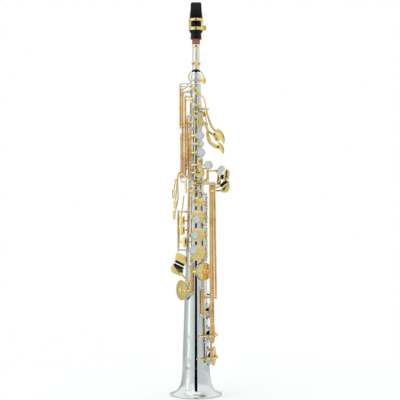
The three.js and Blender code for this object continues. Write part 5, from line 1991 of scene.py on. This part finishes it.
@dataclass
class SideKeys:
    """The right hand's side keys, the high F sharp and the trill key."""

    long_radius: float = 1.9
    facing: Vector = field(default_factory=lambda: vec(-0.75, -0.66, 0))

    def lobe(self, length: float, width: float) -> list[Vector]:
        """Outline of a side touch, broader at its top."""
        a, b = length / 2, width / 2
        return cut_round([(-a, -b * 0.62), (a, -b), (a, b), (-a, b * 0.62)], width * 0.34)

    def key(self, node: str, hole: str, span: tuple[float, float], *collars: float) -> Key:
        """A key on a long upright rod."""
        key = Key(node, f"{node.removesuffix('_key')}_press", hole=hole)
        return key.rod(*span, self.long_radius, *collars).cup(0.3)

    def build(self) -> None:
        """Makes the side keys."""
        e = self.key("side_e_key", "side_e", (388, 524), 520, 391, 456)
        e.arm([(-19, -7, 520), (-15, -12.6, 520), HOLES["side_e"].over()], 3.4)
        e.cap(2.4, 1.0)
        down = [(-19, -7, 391), (-28, -7.2, 388), (-35, -7, 379), (-38.4, -6.4, 366)]
        e.arm([*down, (-38.6, -6.4, 358)], 3.8)
        e.metal.crown(self.lobe(17, 9), vec(-38.8, -7.6, 355), UP, self.facing, 1.5, 1.0, 0.6)
        e.boss(vec(-36, -8.8, 379), vec(-0.4, -0.9, 0), 2.6, 1.6)
        e.finish()
        c = self.key("side_c_key", "side_c", (388, 458), 452, 395)
        c.arm([(-26.5, 7, 452), (-19.6, 16.4, 452), HOLES["side_c"].over()], 3.6)
        down = [(-26.5, 7, 395), (-31.6, 4.4, 390), (-33.4, 3, 378), (-34.6, -1, 358)]
        c.arm([*down, (-36.2, -4.4, 342)], 3.8)
        c.metal.crown(self.lobe(15, 8), vec(-36.6, -5.6, 336.5), UP, self.facing, 1.5, 1.0, 0.6)
        c.finish()
        b_flat = self.key("side_b_flat_key", "side_b_flat", (388, 424), 416, 395)
        b_flat.arm([(-19.5, 9.5, 416), (-15, 16.6, 416), HOLES["side_b_flat"].over()], 3.6)
        down = [(-19.5, 9.5, 395), (-25.4, 13, 392), (-32, 9.6, 384), (-32, 4, 348)]
        b_flat.arm([*down, (-36.8, -1.6, 322)], 3.6)
        b_flat.metal.crown(self.lobe(17, 7), vec(-38, -2.6, 318), UP, self.facing, 1.5, 1.0, 0.6)
        b_flat.finish()
        self.high_f_sharp()
        self.trill()

    def high_f_sharp(self) -> None:
        """Makes the high F sharp key and its touch."""
        key = self.key("high_f_sharp_key", "high_f_sharp", (388, 533), 531, 392, 460)
        key.arm([(-24, 1, 531), (-16.4, -9.4, 536), HOLES["high_f_sharp"].over()], 3.0, 1.8)
        key.cap(2.0, 1.0, 0.5)
        key.arm([(-24, 1, 392), (-27.4, -1.6, 388), (-26, -4, 378), (-18.4, -12.6, 375)], 3.0, 1.8)
        key.metal.crown(oval(15, 2.1, 3), vec(-17.6, -13.4, 370), UP, vec(-0.5, -0.87, 0), 1.5, 0.4)
        key.finish()
        touch = Key("high_f_sharp_touch", "high_f_sharp_touch_press")
        touch.rod(259, 321, self.long_radius, 271, 311, 292)
        touch.arm([(-31.2, -9, 271), (-27, -17, 271), (-22, -22, 271)], 3.4)
        touch.metal.crown(
            oval(10, 4.8, 2.2), vec(-20.3, -22.6, 271), UP, vec(-0.35, -0.94, 0), 1.5, 1.1, 0.6
        )
        touch.arm([(-31.2, -9, 311), (-26.4, -14.2, 316), (-21.4, -15.4, 351)], 3.0, 1.8)
        touch.finish()

    def trill(self) -> None:
        """Makes the F sharp trill key, with its two touches."""
        key = Key("f_sharp_trill_key", "f_sharp_trill_press", hole="f_sharp_trill")
        key.rod(284, 362, 1.8, 360, 292, 308, 335)
        key.arm([key.hinge.at(360), HOLES["f_sharp_trill"].over()], 3.2, 1.9)
        key.cap(2.6, 1.2, 0.5)
        key.arm([(-14.3, -17.2, 292), (-19, -20.6, 292), (-23.6, -22.6, 292)], 3.2, 1.9)
        key.arm([(-14, -17, 308), (-19, -20.4, 308), (-23.6, -22.6, 308)], 3.2, 1.9)
        plate = cut_round([(-8.2, -4.3), (8.2, -4.3), (8.2, 4.3), (-8.2, 4.3)], 1.8)
        for z in (308.8, 291.6):
            key.metal.crown(plate, vec(-23.8, -22.6, z), UP, vec(-0.3, -0.95, 0), 1.5, 0.7, 0.6)
        key.cup(0.3).finish()


# ------------------------------------------------------------------ little finger keys


@dataclass
class Roller:
    """A black roller between two little finger touches, on its axle."""

    node: str
    low: Vector
    high: Vector
    radius: float

    def build(self, key: Key) -> None:
        """Makes the roller, and gives its key the axle and its two eyes."""
        matrix = key.to_rest()
        axis = (self.high - self.low).normalized()
        length = (self.high - self.low).length
        r = self.radius
        line = [(0, 0), (r * 0.8, 0), (r, 0.7), (r * 0.93, length * 0.5), (r, length - 0.7)]
        line += [(r * 0.8, length), (0, length)]
        shell = Shell().turn(soften(line, 0.4), self.low, axis, 32)
        piece_of(f"{self.node}_black", shell.moved(matrix), ROLLER_EBONITE, self.node, [self.node])
        key.metal.tube(self.low - axis * 1.6, self.high + axis * 1.6, 0.6)
        for end, way in ((self.low, -1), (self.high, 1)):
            eye = [(0, 0.35), (r * 0.85, 0.35), (r * 0.85, 1.5), (0, 1.5)]
            key.metal.turn(eye, end, axis * way, 24, 0.3)


@dataclass
class TableKeys:
    """The left little finger's table: low B flat, low B, low C sharp and G sharp."""

    radius: float = 1.9
    facing: Vector = field(default_factory=lambda: vec(0.2, -0.98, 0))
    along: Vector = field(default_factory=lambda: vec(0.98, 0.2, 0))

    def touch(self, key: Key, corners: Profile, centre: Vector) -> None:
        """Adds a plate of the table."""
        outline = cut_round(corners, 2.6)
        key.metal.crown(outline, centre, self.along, self.facing, 1.5, 0.8, 0.6)

    def rod(self, key: Key, low: float, *collars: float) -> Callable[[float], Vector]:
        """Adds a long rod up to the table."""
        return key.rod(low, TABLE_TOP, self.radius, *collars).hinge.at

    def foot(self, key: Key, points: list[Vector]) -> None:
        """Adds a key foot: a tapered arm across the tube, with a ball end and a felt."""
        key.metal.sweep(smooth_line(points), [3.6, 3.0, 2.2, 1.5], [2.2, 1.8, 1.5], None, 2.8)
        key.felt(points[-1] - BORE.outward(points[-1]) * 0.5, -BORE.outward(points[-1]), 1.5, 1.3)
        ball = [(0, -1.7), (1.2, -1.2), (1.7, 0), (1.2, 1.2), (0, 1.7)]
        key.metal.turn(soften(ball, 0.6), points[0] + vec(3.6, 0, 0), RIGHT, 24)
        key.metal.wire([points[0], points[0] + vec(3.4, 0, 0)], 0.8)

    def build(self) -> None:
        """Makes the table."""
        self.low_b_flat()
        self.low_b()
        self.low_c_sharp()
        self.g_sharp()

    def low_b_flat(self) -> None:
        """Makes the low B flat key."""
        key = Key("low_b_flat_key", "low_b_flat_press", Rest.OPEN, "low_b_flat")
        at = self.rod(key, 63, 66, 360, 160, 250)
        over = HOLES["low_b_flat"].over()
        key.arm([at(66), (33, -18, 67), (36.4, -7, 68), over], 4.4, 2.2)
        key.cap(4.2, 1.6)
        self.foot(key, [at(66), vec(20, -30, 66), vec(12, -31, 66), vec(2, -29.2, 66)])
        key.arm([at(360), (30, -27, 360), (46, -26, 361)], 4.0, 2.0)
        corners = [(-8, -4.4), (-2, -6.8), (5, -6.2), (9, -1), (9.2, 9), (7.6, 12.4), (-5.8, 1.2)]
        self.touch(key, corners, vec(50, -25.6, 363.6))
        key.arm([(57.4, -25, 366), (57.6, -25, 371), (57.0, -25.2, 377)], 2.8, 1.8, FRONT)
        Roller("roller_b_flat", vec(43.4, -27.6, 368.4), vec(54.4, -25.4, 377), 2.8).build(key)
        key.cup(0.8).finish()

    def low_b(self) -> None:
        """Makes the low B key."""
        key = Key("low_b_key", "low_b_press", Rest.OPEN, "low_b")
        at = self.rod(key, 99.5, 107, 364, 190, 280)
        over = HOLES["low_b"].over()
        key.arm([at(107), (35, -14, 107), (36, -6, 107), over], 4.4, 2.2)
        key.cap(4.0, 1.6)
        self.foot(key, [at(106), vec(26, -30.6, 106), vec(17, -31.6, 106), vec(6, -28, 106)])
        key.arm([at(364), (33.4, -20.6, 365.4), (41, -20, 368), (52, -17.6, 381)], 4.0, 2.0)
        corners = [(-5.4, -10.4), (3.6, -9.6), (5.4, 7), (-1, 9.4), (-5.4, 4)]
        self.touch(key, corners, vec(54.4, -18.4, 389.4))
        key.cup(0.8).finish()

    def low_c_sharp(self) -> None:
        """Makes the low C sharp lever and the key that it lifts."""
        lever = Key("low_c_sharp_lever", "low_c_sharp_lever_press")
        at = self.rod(lever, 176, 178, 369, 240, 310)
        lever.arm([at(178), (34.4, -25, 178), (29, -29.6, 178.4), (19, -30, 180)], 3.6, 1.9)
        lever.arm([at(369), (37.4, -16.6, 373), (41, -18, 380)], 4.0, 2.0)
        self.touch(lever, [(-5.6, -12), (2.6, -10.6), (2.6, 7), (-4, 7)], vec(41, -19, 382))
        Roller("roller_c_sharp", vec(46.2, -20.2, 381), vec(46.2, -20.2, 388.6), 2.5).build(lever)
        lever.finish()
        key = Key("low_c_sharp_key", "low_c_sharp_press", hole="low_c_sharp")
        over = HOLES["low_c_sharp"].over()
        key.rod(144, 187, 2.4, 148, 180, 164)
        key.arm([(11.6, -23.4, 148), (22, -20, 148), (28.8, -13, 148), over], 4.4, 2.2)
        key.cap(3.8, 1.5)
        key.arm([(11.6, -23, 180), (16, -25.6, 180), (21, -26.4, 180)], 3.6, 1.9)
        key.felt(vec(19.8, -27.2, 180), FRONT, 1.3, 0.9)
        key.cup(0.8).finish()

    def g_sharp(self) -> None:
        """Makes the G sharp key."""
        key = Key("g_sharp_key", "g_sharp_press", hole="g_sharp")
        over = HOLES["g_sharp"].over()
        key.rod(380.4, 397, 2.2, 382.6, 395)
        key.arm([(20.5, -18, 382), (10, -20.6, 377), over], 3.8)
        key.arm([over, (-6.4, -20, 372)], 3.6, 2.0, FRONT, 1.0)
        key.cap(2.8, 1.3, 0.5)
        bar = [(-8, -23.4, 372.4), (2, -24.6, 372.4), (12, -24.4, 372.4), (22, -22, 372.4)]
        key.arm(bar, 2.8, 2.2, FRONT, 1.0)
        key.arm([(20.5, -18, 381.4), (20.5, -21, 378), (20.5, -22.2, 372.6)], 3.0, 2.0)
        key.arm([(20.5, -18, 395.4), (30, -21.6, 395.4), (40, -22.4, 395.4)], 4.0, 2.0)
        along, facing = vec(0.67, 0, 0.74), self.facing
        middle = vec(42.9, -23.4, 396.5)
        key.metal.crown(oval(8.8, 5.4, 2.5), middle, along, facing, 1.2, 0.2, 0.4)
        middle = middle + facing.normalized() * 1.2
        key.pearls.crown(oval(7.6, 4.4, 2.5), middle, along, facing, 0.9, 0.6, 0.4)
        key.cup(0.3).finish()


@dataclass
class LowLeftKeys:
    """The right little finger's E flat and low C."""

    radius: float = 2.6
    facing: Vector = field(default_factory=lambda: vec(-0.25, -0.97, 0))
    along: Vector = field(default_factory=lambda: vec(0.97, -0.25, 0))

    def build(self) -> None:
        """Makes both keys."""
        flat = Key("e_flat_key", "e_flat_press", hole="e_flat")
        flat.rod(206, 229, self.radius, 208.4, 219.5, 226.4)
        over = HOLES["e_flat"].over()
        flat.arm([(-8.4, -26.4, 219.5), (1.4, -32.6, 219.5), over, (23.6, -16.4, 219.5)], 5.0, 2.2)
        flat.cap(4.4, 1.7)
        flat.arm([(-8.3, -26.2, 226.4), (-14, -28, 229.6), (-19, -28, 238)], 4.2)
        corners = [(-12.4, -4.6), (5.6, -12.8), (10.4, -11), (11.2, 0.8), (-6, 9.2), (-9.8, 8.2)]
        outline = cut_round(corners, 2.2)
        flat.metal.crown(outline, vec(-25, -28, 244), self.along, self.facing, 1.5, 1.0, 0.6)
        Roller("roller_e_flat", vec(-35.4, -26.4, 237.6), vec(-21, -30, 230.6), 2.4).build(flat)
        flat.cup(0.8).finish()
        low_c = Key("low_c_key", "low_c_press", Rest.OPEN, "low_c")
        low_c.rod(183, 205.4, self.radius, 185.7, 200)
        over = HOLES["low_c"].over()
        low_c.arm([(-8.6, -27.5, 185.7), (-19.6, -28, 185.7), over], 5.0, 2.2)
        low_c.cap(4.6, 1.8)
        low_c.arm([(-8.5, -27, 200), (-16, -29.4, 205), (-24, -28.6, 213), (-27, -28.4, 217)], 4.2)
        corners = [
            (-12.4, 2), (-9.6, -3), (5, -9.6), (11.2, -3), (10.2, 2.2), (-7.4, 10.6), (-11.4, 8.4)
        ]
        outline = cut_round(corners, 2.4)
        low_c.metal.crown(outline, vec(-32.6, -26.4, 221), self.along, self.facing, 1.5, 1.0, 0.6)
        Roller("roller_low_c", vec(-38.6, -25.6, 232.2), vec(-23, -29.6, 224.6), 2.4).build(low_c)
        low_c.cup(0.8).finish()


# ------------------------------------------------------------------ ribs, posts and springs


@dataclass
class Rib:
    """A rib soldered on the tube, and the hinges whose posts stand on it."""

    node: str
    spine: float
    lines: list[tuple[Vector, Vector]]
    extra: list[Vector] = field(default_factory=list)

    def posts(self) -> list[Vector]:
        """Middles of the posts' balls."""
        spots = list(self.extra)
        for low, high in self.lines:
            axis = (high - low).normalized()
            spots += [low - axis * POST_GAP, high + axis * POST_GAP]
        return spots


@dataclass
class Posts:
    """Every rib, its posts, the pivot screws in them and the needle springs beside them."""

    def line(self, joint: str, low: float, high: float) -> tuple[Vector, Vector]:
        """The two ends of an upright hinge tube."""
        hinge = Hinge.of(joint)
        return hinge.at(low), hinge.at(high)

    def short(self, joint: str, length: float) -> tuple[Vector, Vector]:
        """The two ends of a level hinge tube."""
        hinge = Hinge.of(joint)
        return hinge.origin, hinge.along(length)

    def ribs(self) -> list[Rib]:
        """All the ribs."""
        left = self.line("b_press", 447.4, 467)
        right = self.line("f_sharp_press", 332, 352)
        table = [
            self.line("low_b_flat_press", 63, TABLE_TOP), self.line("low_b_press", 99.5, TABLE_TOP)
        ]
        table.append(self.line("low_c_sharp_lever_press", 176, TABLE_TOP))
        left_axis = (left[1] - left[0]).normalized()
        right_axis = (right[1] - right[0]).normalized()
        left_extra = [left[1] + left_axis * POST_GAP, Hinge.of("g_press").at(410.3)]
        left_extra.append(Hinge.of("g_press").at(383) - left_axis * POST_GAP)
        right_extra = [
            Hinge.of("d_press").at(242) - right_axis * POST_GAP, Hinge.of("e_press").at(299.8)
        ]
        right_extra.append(right[1] + right_axis * POST_GAP)
        vent = self.line("octave_vent_press", 404, 489)
        sides = [self.line("octave_lever_press", 476, 543), self.line("side_e_press", 388, 524)]
        sides += [self.line("side_c_press", 388, 458), self.line("side_b_flat_press", 388, 424)]
        sides.append(self.line("high_f_sharp_press", 388, 533))
        palms = [self.short("palm_f_press", 8.8), self.short("palm_e_flat_press", 7.2)]
        palms.append(self.short("palm_d_press", 8.8))
        return [
            Rib("rib_palm", 66, palms),
            Rib("rib_left_hand", -33, [self.line("front_f_press", 491, 504), vent], left_extra),
            Rib("rib_left_side", -92, sides),
            Rib("rib_right_hand", 47, [], right_extra),
            Rib("rib_low_right", 45, [self.line("low_c_sharp_press", 144, 187)],
                [low - (high - low).normalized() * POST_GAP for low, high in table]),
            Rib("rib_low_left", -24, [(self.line("low_c_press", 183, 205.4)[0],
                                       self.line("e_flat_press", 206, 229)[1])]),
            Rib("rib_table", 55, [self.line("g_sharp_press", 380.4, 397)],
                [high + (high - low).normalized() * POST_GAP for low, high in table]),
            Rib("rib_trill", -62, [self.line("high_f_sharp_touch_press", 259, 321),
                                   self.line("f_sharp_trill_press", 284, 362)]),
        ]

    def build(self) -> None:
        """Makes the ribs, posts, screws and springs."""
        spots, lean, reach = [], [], []
        heads, ways, needles, aims, lengths = [], [], [], [], []
        for rib in self.ribs():
            posts = rib.posts()
            shell = Shell()
            low, high = min(p.z for p in posts) - 4, max(p.z for p in posts) + 4
            inner = lambda z: BORE.radius(z) + 0.05
            high = min(high, BORE.top_z - 0.6)
            shell.patch((rib.spine - 6.5, rib.spine + 6.5), (low, high), inner, 1.3, 2.0)
            for post in posts:
                azimuth = BORE.azimuth(post)
                first, last = min(azimuth, rib.spine) - 8, max(azimuth, rib.spine) + 8
                top = min(post.z + 4, BORE.top_z - 0.6)
                shell.patch((first, last), (top - 8, top), inner, 1.45, 2.0)
                foot = BORE.point(azimuth, BORE.radius(post.z) + 1.4, post.z)
                spots.append(post)
                lean.append((post - foot).normalized())
                reach.append((post - foot).length * MM)
            piece_of(f"{rib.node}_strip", shell, SILVER, "body", [rib.node])
            for low_end, high_end in rib.lines:
                axis = (high_end - low_end).normalized()
                heads += [low_end - axis * 4.5, high_end + axis * 4.5]
                ways += [-axis, axis]
                inward = BORE.outward(low_end) * -2.7
                length = min(24.0, (high_end - low_end).length * 0.6)
                needles.append(low_end + inward - axis * POST_GAP + axis * (length / 2))
                aims.append(axis)
                lengths.append(length * MM)
            for post in rib.extra:
                way = -UP if rib.node == "rib_low_right" else UP
                heads.append(post + way * 1.95)
                ways.append(way)
        bracket = table_of((-29, 4, 549.6), (-19, 1, 550.8), (-9.4, -1, 551))
        piece_of("upper_bracket", Shell().strap(bracket, 3.4, 2.2, FRONT, 0.8), SILVER, "body")
        dressed(
            "ball_posts", post_grower().grow(spots, SILVER, lean=lean, reach=reach), SILVER, "body"
        )
        screws = screw_grower(1.25, 0.7, 0.36).grow(heads, NICKEL, lean=ways)
        dressed("pivot_screws", screws, NICKEL, "body")
        wires = needle_grower().grow(needles, STEEL, lean=aims, reach=lengths)
        dressed("needle_springs", wires, STEEL, "body")


# ------------------------------------------------------------------ studio


class Air(Recipe):
    """The studio's air: soft light with a pale side and a dark slit, for metal to mirror."""

    def __init__(self) -> None:
        """Starts the air with nothing but its output."""
        world = bpy.data.worlds.new("studio air")
        bpy.context.scene.world = world
        world.use_nodes = True
        self.tree = world.node_tree
        self.tree.nodes.clear()
        self.output = self.tree.nodes.new("ShaderNodeOutputWorld")

    def build(self) -> None:
        """Mixes the air."""
        x, y, z = self.split(self.make("TexCoord", {}, {}, "Generated"))
        azimuth = self.make("Math", {"operation": "ARCTAN2"}, {0: x, 1: 0 - y})
        stops = [
            (0.0, (0.5, 0.55, 0.53)),
            (1.0, (0.5, 0.55, 0.53)),
            (0.14, (0.48, 0.53, 0.51)),
            (0.24, (0.62, 0.67, 0.66)),
            (0.29, (1.0, 0.98, 1.01)),
            (0.335, (1.0, 0.98, 1.01)),
            (0.39, (0.76, 0.8, 0.79)),
            (0.47, (0.6, 0.66, 0.64)),
            (0.53, (0.68, 0.73, 0.74)),
            (0.58, (0.64, 0.68, 0.69)),
            (0.72, (0.66, 0.7, 0.71)),
            (0.86, (0.84, 0.86, 0.87)),
        ]
        wall = self.make("ValToRGB", {"stops": stops}, {0: azimuth * (1 / FULL_TURN) + 0.5})
        away = (azimuth * azimuth) ** 0.5
        room = self.blend(z.between(0.14, 0.36), wall, (0.96, 0.98, 0.98))
        room = self.blend(z.between(0.7, 0.95), room, (0.76, 0.78, 0.79))
        slit = (1 - away.between(0.19, 0.205)) * (1 - z.between(0.85, 0.95)) * z.between(
            -0.24, -0.2
        )
        room = self.blend(slit, room, (0.0, 0.0, 0.0))
        seen = self.make("LightPath", {}, {}, "Is Camera Ray")
        shade = self.blend(seen, room, (1.0, 1.0, 1.0))
        glow = self.make("Background", {}, {"Color": shade, "Strength": 1.0})
        self.tree.links.new(glow.socket, self.output.inputs[0])


@dataclass
class Studio:
    """Pale floor, soft light and the camera."""

    look_z: float = 0.3443
    look_x: float = 0.0004
    distance: float = 1.9
    width: float = 0.708
    floor: float = 0.5

    def lamp(
        self, name: str, size: tuple[float, float], place: tuple, aim: tuple, power: float
    ) -> None:
        """A soft box."""
        light = bpy.data.lights.new(name, "AREA")
        light.shape, light.size, light.size_y, light.energy = "RECTANGLE", *size, power
        lamp = bpy.data.objects.new(name, light)
        lamp.location = place
        lamp.rotation_euler = (Vector(aim) - Vector(place)).to_track_quat("-Z", "Y").to_euler()
        lamp.visible_camera = False
        bpy.context.scene.collection.objects.link(lamp)

    def build(self) -> None:
        """Makes the studio."""
        scene = bpy.context.scene
        scene.view_settings.view_transform = "Standard"
        scene.view_settings.look = "None"
        Air().build()
        mesh = bpy.data.meshes.new("floor")
        edge = [(self.floor * math.cos(t), self.floor * math.sin(t), 0) for t in angles(96)]
        mesh.from_pydata(edge, [], [tuple(range(len(edge)))])
        floor = bpy.data.objects.new("floor", mesh)
        floor.location.z = -0.0002
        scene.collection.objects.link(floor)
        paint = Recipe("pale floor")
        shade = paint.blend(paint.noise(3, 3), (0.88, 0.88, 0.885), (0.9, 0.9, 0.9))
        inputs = {"Base Color": shade, "Roughness": 0.8, "Emission Color": (1, 1, 1, 1)}
        lit = paint.make("BsdfPrincipled", {}, {**inputs, "Emission Strength": 0.2})
        dim = paint.make("Emission", {}, {"Color": (0.6, 0.64, 0.64, 1)})
        mirrored = paint.make("LightPath", {}, {}, "Is Glossy Ray")
        both = paint.make("MixShader", {}, {0: mirrored, 1: lit, 2: dim})
        paint.tree.links.new(both.socket, paint.output.inputs[0])
        mesh.materials.append(paint.material)
        self.lamp("left box", (0.34, 1.9), (-1.85, -0.75, 0.6), (0, 0, 0.35), 1.0)
        self.lamp("top box", (2, 2), (-0.4, -0.3, 2.3), (0, 0, 0.3), 4)
        camera = bpy.data.cameras.new("camera")
        camera.sensor_fit = "HORIZONTAL"
        camera.angle = 2 * math.atan(self.width / 2 / self.distance)
        camera.clip_start = 0.01
        view = bpy.data.objects.new("camera", camera)
        view.location = (self.look_x, -self.distance, self.look_z)
        view.rotation_euler = (math.radians(90), 0, 0)
        scene.collection.objects.link(view)
        scene.camera = view


def main() -> None:
    """Builds the instrument and the studio round it."""
    logging.basicConfig(level=logging.INFO, format="%(name)s %(message)s")
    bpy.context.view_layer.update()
    Studio().build()
    assemblies = (
        BodyTube(), Bell(), Receiver(), Neck(), Mouthpiece(), BackFittings(), LeftStack(),
        RightStack(), PalmKeys(), OctaveWork(), SideKeys(), TableKeys(), LowLeftKeys(), Posts(),
    )
    for assembly in assemblies:
        LOG.info("building %s", type(assembly).__name__)
        assembly.build()


if __name__ == "__main__":
    main()
